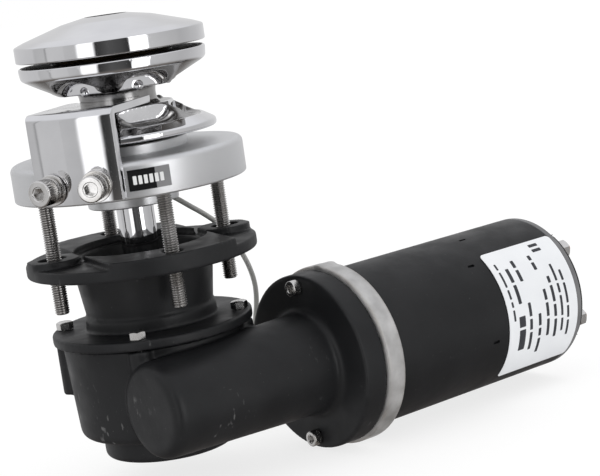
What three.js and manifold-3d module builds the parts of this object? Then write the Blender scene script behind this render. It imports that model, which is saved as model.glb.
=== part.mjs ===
// Vertical anchor windlass: chain wheel and clutch cap above the deck, worm gearbox and
// DC motor below it. Millimetres, +Z up. The origin is on the drive shaft's axis at the
// underside of the deck flange, and +X runs along the motor's axis.
import * as THREE from "three";
import { mergeVertices } from "three/addons/utils/BufferGeometryUtils.js";
import Module from "manifold-3d";

const wasm = await Module();
wasm.setup();

// ---------------------------------------------------------------- driving dimensions
const GAP = 0.3; // clearance between neighbouring pieces
const FINE = 32; // segments round a large turned piece
const MEDIUM = 20; // segments round a small turned piece
const COARSE = 10; // segments round a hole or a fastener

const SHAFT_R = 10;
const THREAD_R = 8; // threaded top of the drive shaft
const SHAFT_BOTTOM = -138;
const SHAFT_TOP = 82;

const FLANGE_R = 62.1; // deck flange
const FLANGE_H = 19.1;
const HUB_R = 33;
const HUB_TOP = 24.2;
const BOSS_R = 24.4;
const BOSS_BOTTOM = -9.3;

const STUD_CIRCLE = 48.5;
const STUD_R = 4;
const STUD_ANGLE = -14.7; // degrees, first of four at right angles
const STUD_TOP = 12;
const STUD_BOTTOM = -60.5;

const GYPSY_R = 50;
const GYPSY_BOTTOM = 26.6;
const GYPSY_TOP = 69.5;
const GROOVE_Z = 48; // middle of the chain groove
const NECK_R = 20.2;
const POCKETS = 6;
const POCKET_ANGLE = 201; // degrees, middle of the first chain pocket

const CAP_R = 50.2;
const CAP_BOTTOM = 72;

const STRIPPER_ANGLE = 211.7; // degrees, middle of the chain stripper
const STRIPPER_OUTER = 66.4;
const STRIPPER_THICK = 3.9;
const STRIPPER_HALF = 24; // half its width
const STRIPPER_TOP = 47.7;
const STRIPPER_PLATE = 3.5; // thickness of its horizontal fork
const STRIPPER_SCREW_STEP = 10.4; // degrees either side of the middle
const STRIPPER_SCREW_Z = 9.8;

const UNDER_R = 62.2; // under-deck flange of the upper housing
const UNDER_TOP = -34.3;
const UNDER_BOTTOM = -40.6;
const PAD_TOP = -30.7;
const JOINT_Z = -78.8; // underside of the upper housing's lower flange
const JOINT_R = 54.2;
const JOINT_THICK = 5.2;
const GASKET = 0.8;
const CASE_TOP = JOINT_Z - GASKET;
const CASE_R = 49.5;
const CASE_BOTTOM = -144;
const CASE_BOLT_CIRCLE = 48;
const CASE_BOLT_ANGLE = 46.5;

const CENTRES = 50; // worm axis to wheel axis
const WORM_Z = -109.2;
const MODULE = 2.5;
const WHEEL_TEETH = 30;
const WHEEL_PITCH_R = (MODULE * WHEEL_TEETH) / 2;
const WORM_PITCH_R = CENTRES - WHEEL_PITCH_R;
const WORM_PITCH = Math.PI * MODULE;

const TUBE_END = -42.3; // closed end of the worm tube
const TUBE_R_END = 25;
const TUBE_R_FLANGE = 28.2;
const MOTOR_FLANGE_X = 62.5;
const MOTOR_FLANGE_R = 48.3;
const RING_X = 76.8; // light ring behind the gearbox's motor flange
const RING_R = 50;
const MOTOR_X = 89.3;
const MOTOR_R = 44.9;
const MOTOR_WALL = 3;
const CAP_X = 230; // seam of the rear end cap
const MOTOR_END = 234;
const MOTOR_SCREW_CIRCLE = 42;

const CABLE_R = 1.5;
const FLOOR = WORM_Z - RING_R; // lowest level of the object, under the light ring

// ---------------------------------------------------------------- materials
function material(color, roughness, metalness) {
  return new THREE.MeshStandardMaterial({ color, roughness, metalness });
}
const polished = material(0xd9dadb, 0.08, 1);
const steel = material(0xb4b6b8, 0.3, 1);
const anodised = material(0xc3c5c8, 0.42, 0.85);
const blackPaint = material(0x1d1e20, 0.5, 0.1);
const castAlloy = material(0xb3b1ae, 0.62, 0.6);
const blackTube = material(0x232427, 0.45, 0.2);
const bronze = material(0xb08d4a, 0.35, 0.9);
const rubber = material(0x151515, 0.85, 0);
const copper = material(0xa9643a, 0.4, 0.9);
const magnetGrey = material(0x3c3d40, 0.6, 0.2);
const paleCable = material(0xc9c9c6, 0.55, 0);
const labelWhite = material(0xe9ebee, 0.5, 0);
const tagBlack = material(0x17181a, 0.5, 0);
const carbon = material(0x26262a, 0.7, 0);

// ---------------------------------------------------------------- solids
const rad = THREE.MathUtils.degToRad;

// A closed geometry as a manifold solid with its faces pointing out.
function solid(geometry) {
  const bare = new THREE.BufferGeometry();
  bare.setAttribute("position", geometry.getAttribute("position").clone());
  if (geometry.index) bare.setIndex(geometry.index.clone());
  const merged = mergeVertices(bare, 1e-4);
  const triVerts = new Uint32Array(merged.index.array);
  const vertProperties = merged.attributes.position.array;
  const made = new wasm.Manifold(new wasm.Mesh({ numProp: 3, vertProperties, triVerts }));
  if (made.volume() > 0) return made;
  const flipped = new Uint32Array(triVerts).reverse();
  return new wasm.Manifold(new wasm.Mesh({ numProp: 3, vertProperties, triVerts: flipped }));
}

function geometryOf(manifold) {
  const mesh = manifold.getMesh();
  const geometry = new THREE.BufferGeometry();
  geometry.setAttribute("position", new THREE.BufferAttribute(mesh.vertProperties, 3));
  geometry.setIndex(new THREE.BufferAttribute(mesh.triVerts, 1));
  return geometry;
}

const join = (...pieces) => geometryOf(pieces.map(solid).reduce((a, b) => a.add(b)));
const cut = (body, ...tools) =>
  geometryOf(tools.map(solid).reduce((a, b) => a.subtract(b), solid(body)));
const common = (a, b) => geometryOf(solid(a).intersect(solid(b)));
const outward = (geometry) => geometryOf(solid(geometry));

// Points [radius, height] turned about Z. The profile closes on itself or ends on the axis.
function turned(profile, segments = FINE) {
  const points = profile.map(([r, z]) => new THREE.Vector2(r, z));
  return outward(new THREE.LatheGeometry(points, segments).rotateX(Math.PI / 2));
}

// A ring with a closed profile.
const turnedRing = (profile, segments) => turned([...profile, profile[0]], segments);

// A plain ring or disc from z0 to z1.
function ring(outer, inner, z0, z1, segments = MEDIUM) {
  if (inner === 0) return turned([[0, z0], [outer, z0], [outer, z1], [0, z1]], segments);
  return turnedRing([[inner, z0], [outer, z0], [outer, z1], [inner, z1]], segments);
}

// Points of a quarter turn or another arc in a profile, in degrees.
function arc(x, y, radius, from, to, steps = 4) {
  const angle = (i) => rad(from + ((to - from) * i) / steps);
  return Array.from({ length: steps + 1 }, (_, i) => [
    x + radius * Math.cos(angle(i)),
    y + radius * Math.sin(angle(i)),
  ]);
}

function extruded(points, z0, z1) {
  const shape = new THREE.Shape(points.map(([x, y]) => new THREE.Vector2(x, y)));
  const geometry = new THREE.ExtrudeGeometry(shape, { depth: z1 - z0, bevelEnabled: false });
  return geometry.translate(0, 0, z0);
}

function box(x0, x1, y0, y1, z0, z1) {
  const geometry = new THREE.BoxGeometry(x1 - x0, y1 - y0, z1 - z0);
  return geometry.translate((x0 + x1) / 2, (y0 + y1) / 2, (z0 + z1) / 2);
}

// From the local Z axis to the X axis: a turned piece's height becomes its place along X.
const alongX = (geometry) => geometry.rotateY(Math.PI / 2);
const onWormAxis = (geometry) => alongX(geometry).translate(0, -CENTRES, WORM_Z);

// A place at a radius and an angle about Z.
function polar(radius, degrees, z = 0) {
  return new THREE.Vector3(radius * Math.cos(rad(degrees)), radius * Math.sin(rad(degrees)), z);
}

// A vertical cylinder at a radius and an angle about Z.
function post(radius, circle, degrees, z0, z1, segments = COARSE) {
  const place = polar(circle, degrees);
  return ring(radius, 0, z0, z1, segments).translate(place.x, place.y, 0);
}

const model = new THREE.Group();

function add(name, geometry, finish, parent = model) {
  const mesh = new THREE.Mesh(geometry, finish);
  mesh.name = name;
  parent.add(mesh);
  return mesh;
}

// ---------------------------------------------------------------- deck flange
const studAngles = [0, 1, 2, 3].map((i) => STUD_ANGLE + 90 * i);
const stripperScrewAngles = [-1, 1].map((side) => STRIPPER_ANGLE + side * STRIPPER_SCREW_STEP);
const SENSOR_ANGLE = 40; // degrees, chain sensor in the boss
const SENSOR_CIRCLE = 19.5;

// A tool along the radius at an angle about Z, from one radius to another.
function radial(radius, degrees, z, from, to, segments = COARSE) {
  return alongX(ring(radius, 0, from, to, segments)).rotateZ(rad(degrees)).translate(0, 0, z);
}

function deckFlange() {
  const edge = 3.3;
  const body = turnedRing([
    [SHAFT_R + GAP, BOSS_BOTTOM],
    [BOSS_R - 0.6, BOSS_BOTTOM],
    [BOSS_R, BOSS_BOTTOM + 0.6],
    [BOSS_R, 0],
    [FLANGE_R - 1, 0],
    [FLANGE_R, 1],
    ...arc(FLANGE_R - edge, FLANGE_H - edge, edge, 0, 90),
    [HUB_R, FLANGE_H],
    [HUB_R, HUB_TOP - 0.8],
    [HUB_R - 0.8, HUB_TOP],
    [SHAFT_R + GAP, HUB_TOP],
  ]);
  const studHoles = studAngles.map((a) => post(STUD_R + GAP, STUD_CIRCLE, a, -1, STUD_TOP + 1));
  const screwHoles = stripperScrewAngles.map((a) =>
    radial(STUD_R + GAP, a, STRIPPER_SCREW_Z, 50, FLANGE_R + 2),
  );
  const sensorBore = post(3.3, SENSOR_CIRCLE, SENSOR_ANGLE, BOSS_BOTTOM - 1, HUB_TOP - 2);
  const cableBore = radial(1.8, SENSOR_ANGLE, -5, SENSOR_CIRCLE, BOSS_R + 2, 10);
  return cut(body, ...studHoles, ...screwHoles, sensorBore, cableBore);
}

add("deck_flange", deckFlange(), anodised);

studAngles.forEach((angle, i) => {
  const bevel = 0.8;
  const stud = turned(
    [
      [0, STUD_BOTTOM],
      [STUD_R - bevel, STUD_BOTTOM],
      [STUD_R, STUD_BOTTOM + bevel],
      [STUD_R, STUD_TOP],
      [0, STUD_TOP],
    ],
    COARSE,
  );
  add(`deck_stud_${i + 1}`, stud, steel).position.copy(polar(STUD_CIRCLE, angle));
});

// ---------------------------------------------------------------- chain stripper
const stripper = new THREE.Group();
stripper.rotation.z = rad(STRIPPER_ANGLE);
model.add(stripper);

// A curved plate against the flange's rim, bent over into a fork that lies in the groove.
function chainStripper() {
  const inner = STRIPPER_OUTER - STRIPPER_THICK;
  const under = STRIPPER_TOP - STRIPPER_PLATE;
  const bend = 4.5;
  const notch = NECK_R + 1.4;
  const section = turnedRing(
    [
      [inner, 1.5],
      [STRIPPER_OUTER - 0.8, 1.5],
      [STRIPPER_OUTER, 2.3],
      ...arc(STRIPPER_OUTER - bend, STRIPPER_TOP - bend, bend, 0, 90),
      [notch, STRIPPER_TOP],
      [notch, under],
      [inner, under],
    ],
    80,
  );
  const tip = 10.5; // how near the fork's ends come to the shaft's axis plane
  const round = 3;
  const outline = [
    ...arc(tip + round, -STRIPPER_HALF + round, round, 180, 270),
    ...arc(60.4, -STRIPPER_HALF + round, round, 270, 340),
    [70, -15],
    [70, 15],
    ...arc(60.4, STRIPPER_HALF - round, round, 20, 90),
    ...arc(tip + round, STRIPPER_HALF - round, round, 90, 180),
  ];
  const holes = [-1, 1].map((side) =>
    radial(STUD_R + GAP, side * STRIPPER_SCREW_STEP, STRIPPER_SCREW_Z, 55, 72),
  );
  return cut(common(section, extruded(outline, 0, 60)), ...holes);
}

add("chain_stripper", chainStripper(), polished, stripper);

// A socket head cap screw along +Z, its head's underside at zero.
function socketScrew(shank, length, headR, headH, socket) {
  const bevel = headR * 0.12;
  const body = turned(
    [
      [0, -length],
      [shank, -length],
      [shank, 0],
      [headR, 0],
      [headR, headH - bevel],
      [headR - bevel, headH],
      [0, headH],
    ],
    COARSE,
  );
  const hex = ring(socket / Math.sqrt(3), 0, headH * 0.45, headH + 1, 6);
  return cut(body, hex);
}

const WASHER = 1.6; // thicknesses of the stripper's washers
const LOCK_WASHER = 2;

[-1, 1].forEach((side, i) => {
  const holder = new THREE.Group();
  holder.rotation.z = rad(side * STRIPPER_SCREW_STEP);
  stripper.add(holder);
  const seat = STRIPPER_OUTER + GAP;
  const plain = ring(8, STUD_R + GAP, 0, WASHER, 20);
  const spring = ring(6.7, STUD_R + GAP, 0, LOCK_WASHER, 20);
  const washer = add(`stripper_washer_${i + 1}`, plain, steel, holder);
  const lock = add(`stripper_lock_washer_${i + 1}`, spring, steel, holder);
  const screw = add(`stripper_screw_${i + 1}`, socketScrew(STUD_R, 17, 6.7, 8, 6), steel, holder);
  washer.position.set(seat, 0, STRIPPER_SCREW_Z);
  lock.position.set(seat + WASHER + GAP, 0, STRIPPER_SCREW_Z);
  screw.position.set(seat + WASHER + LOCK_WASHER + 2 * GAP, 0, STRIPPER_SCREW_Z);
  [washer, lock, screw].forEach((piece) => (piece.rotation.y = Math.PI / 2));
});

// ---------------------------------------------------------------- chain wheel and clutch
const LOWER_CONE = { bottom: HUB_TOP + 0.5, top: 37.6, wide: 29.5, narrow: 23 };
const UPPER_CONE = { bottom: 58.4, top: 71.4, wide: 31.5, narrow: 25 };
const KEY_W = 5;
const KEY_OUT = SHAFT_R + 2.2;
const CLUTCH_KEY = { bottom: LOWER_CONE.bottom + 1, top: UPPER_CONE.top - 3 };

function gypsy() {
  const rim = GYPSY_R;
  const bore = KEY_OUT + 0.6;
  const wheel = turnedRing([
    [bore, LOWER_CONE.top + GAP],
    [LOWER_CONE.narrow + GAP, LOWER_CONE.top + GAP],
    [LOWER_CONE.wide + GAP, GYPSY_BOTTOM],
    [rim - 1.2, GYPSY_BOTTOM],
    [rim, GYPSY_BOTTOM + 1.2],
    [rim, GYPSY_BOTTOM + 2.8],
    [rim - 1.4, GYPSY_BOTTOM + 4.4],
    [29.5, 42.6],
    [27.6, 43.4],
    [NECK_R + 0.6, 43.6],
    [NECK_R, 44.4],
    [NECK_R, 51.6],
    [NECK_R + 0.6, 52.4],
    [30.2, 52.6],
    [31.8, 53.2],
    [rim - 1.8, 62.6],
    [rim - 0.4, 64.6],
    [rim - 0.2, GYPSY_TOP - 0.8],
    [rim - 1.2, GYPSY_TOP],
    [UPPER_CONE.wide + GAP, GYPSY_TOP],
    [UPPER_CONE.narrow + GAP, UPPER_CONE.bottom - GAP],
    [bore, UPPER_CONE.bottom - GAP],
  ]);
  return cut(wheel, ...chainPockets(), magnetHole());
}

// Each pocket takes a link that stands on edge against the wheel: a deep oblong inside a
// wider and shallower one, which leaves a wedge-shaped rib between neighbours.
const POCKET_FLOOR = { halfLength: 13, halfHeight: 11, corner: 9, from: 28 };
const POCKET_MOUTH = { halfLength: 16.3, halfHeight: 14.4, corner: 12.5, from: 33.5 };

// An oblong in the plane of the wheel's radius, to be cut from a radius outwards.
function pocketTool({ halfLength, halfHeight, corner, from }) {
  const outline = [
    ...arc(halfHeight - corner, halfLength - corner, corner, 0, 90),
    ...arc(corner - halfHeight, halfLength - corner, corner, 90, 180),
    ...arc(corner - halfHeight, corner - halfLength, corner, 180, 270),
    ...arc(halfHeight - corner, corner - halfLength, corner, 270, 360),
  ];
  return alongX(extruded(outline, from, 60)).translate(0, 0, GROOVE_Z);
}

function chainPockets() {
  const turns = Array.from({ length: POCKETS }, (_, i) => rad(POCKET_ANGLE + (i * 360) / POCKETS));
  return turns.flatMap((turn) =>
    [POCKET_FLOOR, POCKET_MOUTH].map((pocket) => pocketTool(pocket).rotateZ(turn)),
  );
}

const MAGNET_R = 3;
function magnetHole() {
  return post(MAGNET_R + GAP, 36, SENSOR_ANGLE, GYPSY_BOTTOM - 1, GYPSY_BOTTOM + 3 + GAP);
}

// A clutch cone with a keyway; the key is cut out with its clearance.
function clutchCone({ bottom, top, wide, narrow }, widestAtTop) {
  const [low, high] = widestAtTop ? [narrow, wide] : [wide, narrow];
  const bore = SHAFT_R + GAP;
  const cone = turnedRing([[bore, bottom], [low, bottom], [high, top], [bore, top]], MEDIUM);
  const half = KEY_W / 2 + GAP;
  return cut(cone, box(SHAFT_R - 2, KEY_OUT + GAP, -half, half, bottom - 1, top + 1));
}

function shaftKey({ bottom, top }) {
  return box(SHAFT_R - 2.5, KEY_OUT, -KEY_W / 2, KEY_W / 2, bottom, top);
}

// The cap is the clutch nut: turning it slack lets the chain wheel run free. The lever
// fits the hexagonal socket in its recess.
function clutchCap() {
  const thread = THREAD_R + GAP;
  const recess = 87.6;
  const cap = turnedRing([
    [thread, CAP_BOTTOM],
    [CAP_R - 1, CAP_BOTTOM],
    [CAP_R, CAP_BOTTOM + 1],
    [CAP_R, 79.4],
    [CAP_R - 0.8, 80.5],
    [45, 82.8],
    [35, 86.8],
    [25, 89.7],
    [16, 91.4],
    [12.4, 91.2],
    [11, 89.6],
    [11, recess],
    [6, recess],
    [6, SHAFT_TOP + 0.6],
    [thread, SHAFT_TOP + 0.6],
  ]);
  return cut(cap, ring(7.5, 0, SHAFT_TOP, recess + 1, 6));
}

add("gypsy", gypsy(), polished);
add("sensor_magnet", post(MAGNET_R, 36, SENSOR_ANGLE, GYPSY_BOTTOM, GYPSY_BOTTOM + 3), magnetGrey);
add("lower_clutch_cone", clutchCone(LOWER_CONE, false), bronze);
add("upper_clutch_cone", clutchCone(UPPER_CONE, true), bronze);
add("clutch_key", shaftKey(CLUTCH_KEY), steel);
add("clutch_cap", clutchCap(), polished);

// ---------------------------------------------------------------- drive shaft
const WHEEL_HALF = 8; // half the worm wheel's width
const WHEEL_KEY = { bottom: WORM_Z - WHEEL_HALF + 1, top: WORM_Z + WHEEL_HALF - 1 };

function driveShaft() {
  const shaft = turned(
    [
      [0, SHAFT_BOTTOM],
      [8, SHAFT_BOTTOM],
      [8.5, SHAFT_BOTTOM + 0.5],
      [8.5, -125],
      [SHAFT_R, -125],
      [SHAFT_R, 71.6],
      [THREAD_R, 71.6],
      [THREAD_R, SHAFT_TOP - 1],
      [THREAD_R - 1, SHAFT_TOP],
      [0, SHAFT_TOP],
    ],
    MEDIUM,
  );
  const half = KEY_W / 2 + GAP;
  const keyways = [CLUTCH_KEY, WHEEL_KEY].map(({ bottom, top }) =>
    box(SHAFT_R - 2.5 - GAP, SHAFT_R + 2, -half, half, bottom - GAP, top + GAP),
  );
  return cut(shaft, ...keyways);
}

// Involute half thickness of a tooth, as an angle, at a radius.
function toothHalfAngle(radius, thickness, pressure = rad(20)) {
  const base = WHEEL_PITCH_R * Math.cos(pressure);
  const local = Math.acos(Math.min(1, base / radius));
  const inv = (a) => Math.tan(a) - a;
  return thickness / 2 / WHEEL_PITCH_R + inv(pressure) - inv(local);
}

function wormWheel() {
  const radii = [WHEEL_PITCH_R - 3.3, WHEEL_PITCH_R, WHEEL_PITCH_R + 1.9];
  const outline = [];
  for (let i = 0; i < WHEEL_TEETH; i++) {
    const middle = rad(270) + ((i + 0.5) * 2 * Math.PI) / WHEEL_TEETH;
    const flank = (side) => (r) => {
      const a = middle + side * toothHalfAngle(r, 3.5);
      return [r * Math.cos(a), r * Math.sin(a)];
    };
    outline.push(...radii.map(flank(-1)), ...[...radii].reverse().map(flank(1)));
  }
  const blank = extruded(outline, -WHEEL_HALF, WHEEL_HALF);
  const lead = MODULE / WORM_PITCH_R / 2 / WHEEL_PITCH_R; // radians of twist per millimetre
  const place = blank.getAttribute("position");
  for (let i = 0; i < place.count; i++) {
    const point = new THREE.Vector3().fromBufferAttribute(place, i);
    point.applyAxisAngle(new THREE.Vector3(0, 0, 1), lead * point.z);
    place.setXYZ(i, point.x, point.y, point.z);
  }
  const half = KEY_W / 2 + GAP;
  const keyway = box(0, KEY_OUT + GAP, -half, half, -WHEEL_HALF - 1, WHEEL_HALF + 1);
  const bore = ring(SHAFT_R + GAP, 0, -WHEEL_HALF - 1, WHEEL_HALF + 1, MEDIUM);
  const recess = (z0, z1) => ring(31, 17, z0, z1, MEDIUM);
  return cut(blank, bore, keyway, recess(4, WHEEL_HALF + 1), recess(-WHEEL_HALF - 1, -4));
}

add("drive_shaft", driveShaft(), polished);
add("worm_wheel", wormWheel(), bronze).position.z = WORM_Z;
add("wheel_key", shaftKey(WHEEL_KEY), steel);

// ---------------------------------------------------------------- upper housing
const SEAL = { outer: 16, bottom: -61, top: -55 };
const BEARING = { outer: 21, bottom: -75, top: -62 };
const caseBoltAngles = [0, 1, 2, 3].map((i) => CASE_BOLT_ANGLE + 90 * i);

function upperHousing() {
  const collarTop = -67;
  const flangeTop = JOINT_Z + JOINT_THICK;
  const casting = turnedRing([
    [32, UNDER_TOP],
    [UNDER_R - 1, UNDER_TOP],
    [UNDER_R, UNDER_TOP - 1],
    [UNDER_R, UNDER_BOTTOM + 1],
    [UNDER_R - 1, UNDER_BOTTOM],
    [38.2, UNDER_BOTTOM],
    [37.4, UNDER_BOTTOM - 1],
    [34.4, collarTop + 0.8],
    [35.6, collarTop],
    [35.6, flangeTop],
    [JOINT_R - 1, flangeTop],
    [JOINT_R, flangeTop - 1],
    [JOINT_R, JOINT_Z],
    [30, JOINT_Z],
    [30, BEARING.bottom],
    [BEARING.outer + GAP, BEARING.bottom],
    [BEARING.outer + GAP, BEARING.top + GAP],
    [SEAL.outer + GAP, BEARING.top + GAP],
    [SEAL.outer + GAP, SEAL.top + GAP],
    [28.5, SEAL.top + GAP],
  ]);
  const rim = turnedRing([
    [36, UNDER_TOP - 1],
    [UNDER_R, UNDER_TOP - 1],
    [UNDER_R, PAD_TOP - 0.8],
    [UNDER_R - 0.8, PAD_TOP],
    [36, PAD_TOP],
  ]);
  const seats = studAngles.map((a) => post(14.5, STUD_CIRCLE, a, UNDER_TOP - 2, PAD_TOP + 1, 24));
  const longPads = box(-35, 35, -70, 70, UNDER_TOP - 2, PAD_TOP + 1).rotateZ(rad(STUD_ANGLE));
  const pads = common(rim, join(longPads, ...seats));
  const slot = [
    ...arc(52.2, 0, 5, -90, 90),
    ...arc(46.8, 0, 5, 90, 270),
  ];
  const slots = studAngles.map((a) => extruded(slot, UNDER_BOTTOM - 3, PAD_TOP + 2).rotateZ(rad(a)));
  const bolts = caseBoltAngles.map((a) => post(2.8, CASE_BOLT_CIRCLE, a, JOINT_Z - 1, flangeTop + 1, 10));
  return cut(join(casting, pads), ...slots, ...bolts);
}

add("upper_housing", upperHousing(), blackPaint);
const sealRing = ring(SEAL.outer, SHAFT_R + GAP, SEAL.bottom, SEAL.top, MEDIUM);
add("oil_seal", sealRing, rubber);

// A sealed ball bearing as one turned ring, with the step between its races on one face.
function bearing(outer, inner, z0, z1) {
  const [from, to] = [0.3, 0.7].map((part) => inner + (outer - inner) * part);
  const profile = [
    [inner, z0],
    [outer, z0],
    [outer, z1],
    [to, z1],
    [to, z1 - 0.8],
    [from, z1 - 0.8],
    [from, z1],
    [inner, z1],
  ];
  return turnedRing(profile, 16);
}

add("upper_bearing", bearing(BEARING.outer, SHAFT_R + GAP, BEARING.bottom, BEARING.top), steel);
add("lower_bearing", bearing(17, 8.5 + GAP, -136, -126), steel);

// ---------------------------------------------------------------- gear case
const WORM_ROOM = 17; // bore of the worm tube
const WORM_BEARING_R = 15;
const CASE_SEAT = 17 + GAP;
const COLUMN_BOTTOM = -109;

function gearCase() {
  const bowl = turned([
    [0, CASE_BOTTOM],
    [32, CASE_BOTTOM],
    ...arc(32.5, CASE_BOTTOM + 3, 3, -90, 0, 3),
    [35.5, -132],
    [38, -131],
    ...arc(39.5, -122, 9, -90, 0, 4),
    [CASE_R, CASE_TOP],
    [0, CASE_TOP],
  ]);
  const tubeProfile = [
    [0, TUBE_END],
    [TUBE_R_END - 1.6, TUBE_END],
    [TUBE_R_END - 0.4, TUBE_END + 0.5],
    [TUBE_R_END, TUBE_END + 1.6],
    [TUBE_R_FLANGE - 0.3, MOTOR_FLANGE_X - 5],
    [TUBE_R_FLANGE + 1.2, MOTOR_FLANGE_X - 1.5],
    [TUBE_R_FLANGE + 4.5, MOTOR_FLANGE_X],
    [MOTOR_FLANGE_R - 1, MOTOR_FLANGE_X],
    [MOTOR_FLANGE_R, MOTOR_FLANGE_X + 1],
    [MOTOR_FLANGE_R, RING_X],
    [0, RING_X],
  ];
  const tube = onWormAxis(turned(tubeProfile));
  const columns = caseBoltAngles.map((a) => post(6.2, CASE_BOLT_CIRCLE, a, COLUMN_BOTTOM, CASE_TOP, 14));
  const room = turned([
    [0, -138.6],
    [CASE_SEAT, -138.6],
    [CASE_SEAT, -126 + GAP],
    [41, -124],
    [42.5, -122],
    [42.5, CASE_TOP + 1],
    [0, CASE_TOP + 1],
  ]);
  const wormBore = onWormAxis(
    turned(
      [
        [0, -36],
        [WORM_BEARING_R + GAP, -36],
        [WORM_BEARING_R + GAP, -26],
        [WORM_ROOM, -26],
        [WORM_ROOM, 60],
        [24, 62],
        [24, RING_X + 1],
        [0, RING_X + 1],
      ],
      MEDIUM,
    ),
  );
  const boltHoles = caseBoltAngles.map((a) => post(2.8, CASE_BOLT_CIRCLE, a, -100, CASE_TOP + 1, 10));
  const screwHoles = [1, -1].map((side) =>
    alongX(ring(2.8, 0, MOTOR_FLANGE_X - 2, RING_X + 1, 10)).translate(
      0,
      -CENTRES,
      WORM_Z + side * MOTOR_SCREW_CIRCLE,
    ),
  );
  return cut(join(bowl, tube, ...columns), room, wormBore, ...boltHoles, ...screwHoles);
}

function caseGasket() {
  const holes = caseBoltAngles.map((a) => post(2.8, CASE_BOLT_CIRCLE, a, CASE_TOP - 2, JOINT_Z + 2, 10));
  return cut(ring(CASE_R, 42.5, CASE_TOP + 0.1, JOINT_Z - 0.1, FINE), ...holes);
}

add("gear_case", gearCase(), blackPaint);
add("case_gasket", caseGasket(), rubber);

// A hexagon head bolt along +Z, its head's underside at zero.
function hexBolt(shank, length, acrossFlats, headH) {
  const corner = acrossFlats / Math.sqrt(3);
  const head = common(
    ring(corner, 0, 0, headH, 6),
    turned([[0, -1], [corner + 1, -1], [corner + 1, headH - 1.2], [corner - 0.9, headH], [0, headH]], 18),
  );
  return join(head, ring(shank, 0, -length, 0.5, 10));
}

caseBoltAngles.forEach((angle, i) => {
  const bolt = add(`case_bolt_${i + 1}`, hexBolt(2.5, 16, 8, 4), steel);
  bolt.position.copy(polar(CASE_BOLT_CIRCLE, angle, JOINT_Z + JOINT_THICK + GAP));
  bolt.rotation.z = rad(angle + 12);
});

// ---------------------------------------------------------------- worm
// A thread of trapezoid section. Each column of points stands at one angle round the axis
// and climbs one pitch per turn, so the last column meets the first one row further on.
function wormThread(turns, rootR, tipR, thickness) {
  const columns = 12;
  const halfAt = (r) => thickness / 2 + (WORM_PITCH_R - r) * Math.tan(rad(20));
  const section = [
    [-halfAt(rootR), rootR],
    [-halfAt(tipR), tipR],
    [halfAt(tipR), tipR],
    [halfAt(rootR), rootR],
  ];
  const rows = turns * section.length;
  const points = [];
  for (let column = 0; column < columns; column++) {
    const angle = (column / columns) * 2 * Math.PI;
    for (let row = 0; row < rows; row++) {
      const [shift, r] = section[row % 4];
      const turn = Math.floor(row / 4) - (turns - 1) / 2 + column / columns;
      points.push(turn * WORM_PITCH + shift, r * Math.cos(angle), r * Math.sin(angle));
    }
  }
  const startCentre = columns * rows;
  const endCentre = startCentre + 1;
  const reach = (turns / 2 + 1) * WORM_PITCH;
  points.push(-reach, 0, 0, reach, 0, 0);

  const at = (column, row) => (column < columns ? column * rows + row : row + 4);
  const faces = [];
  for (let column = 0; column < columns; column++) {
    const last = column + 1 < columns ? rows - 1 : rows - 5;
    for (let row = 0; row < last; row++) {
      const [a, b] = [at(column, row), at(column, row + 1)];
      const [c, d] = [at(column + 1, row + 1), at(column + 1, row)];
      faces.push(a, b, c, a, c, d);
    }
    faces.push(startCentre, at(column, 0), at(column + 1, 0));
    faces.push(endCentre, at(column + 1, last), at(column, last));
  }
  for (let row = 0; row < 4; row++) {
    faces.push(startCentre, row + 1, row);
    faces.push(endCentre, at(columns - 1, rows - 5 + row), at(columns - 1, rows - 4 + row));
  }
  const geometry = new THREE.BufferGeometry();
  geometry.setAttribute("position", new THREE.Float32BufferAttribute(points, 3));
  geometry.setIndex(faces);
  return geometry;
}

const ARMATURE = { start: 108, end: 178, radius: 27 };
const COMMUTATOR = { start: 186, end: 206, radius: 13 };
const REAR_BEARING = { start: 221, end: 229.4, outer: 13, inner: 6 };

// The worm is cut on the armature's own shaft, which runs through the whole motor.
function wormShaft() {
  const thread = wormThread(7, 9.4, 14.5, 3.3);
  const threaded = common(thread, alongX(ring(16, 0, -20, 20, COARSE)));
  const spindle = turned(
    [
      [0, -35],
      [6.7, -35],
      [6.7, -25.6],
      [9.4, -25.6],
      [9.4, 38],
      [7.7, 40],
      [7.7, 212],
      [5.7, 213],
      [5.7, REAR_BEARING.end],
      [0, REAR_BEARING.end],
    ],
    14,
  );
  return join(threaded, alongX(spindle));
}

add("worm_shaft", wormShaft(), steel).position.set(0, -CENTRES, WORM_Z);
add("worm_bearing_far", onWormAxis(bearing(WORM_BEARING_R, 7, -35.7, -26)), steel);

// ---------------------------------------------------------------- motor
const BELL_START = RING_X + GAP;
const FRONT_BEARING = { start: 80, end: 89.6, outer: 17, inner: 8 };

function motorScrewPlace(side, x) {
  return new THREE.Vector3(x, -CENTRES, WORM_Z + side * MOTOR_SCREW_CIRCLE);
}

function frontBell() {
  const seat = FRONT_BEARING.outer + GAP;
  const rim = turnedRing([
    [10, BELL_START],
    [RING_R - 0.8, BELL_START],
    [RING_R, BELL_START + 0.8],
    [RING_R, MOTOR_X - GAP - 0.8],
    [RING_R - 0.8, MOTOR_X - GAP],
    [seat, MOTOR_X - GAP],
    [seat, FRONT_BEARING.start - GAP],
    [10, FRONT_BEARING.start - GAP],
  ]);
  const lobes = [1, -1].map((side) =>
    ring(8.8, 0, BELL_START, MOTOR_X - GAP, 20).translate(side * -MOTOR_SCREW_CIRCLE, 0, 0),
  );
  const holes = [1, -1].map((side) =>
    ring(2.8, 0, BELL_START - 1, 86, 10).translate(side * -MOTOR_SCREW_CIRCLE, 0, 0),
  );
  return onWormAxis(cut(join(rim, ...lobes), ...holes));
}

add("motor_front_bell", frontBell(), castAlloy);
const frontBearing = bearing(FRONT_BEARING.outer, 8, FRONT_BEARING.start, MOTOR_X - GAP);
add("motor_front_bearing", onWormAxis(frontBearing), steel);

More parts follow.
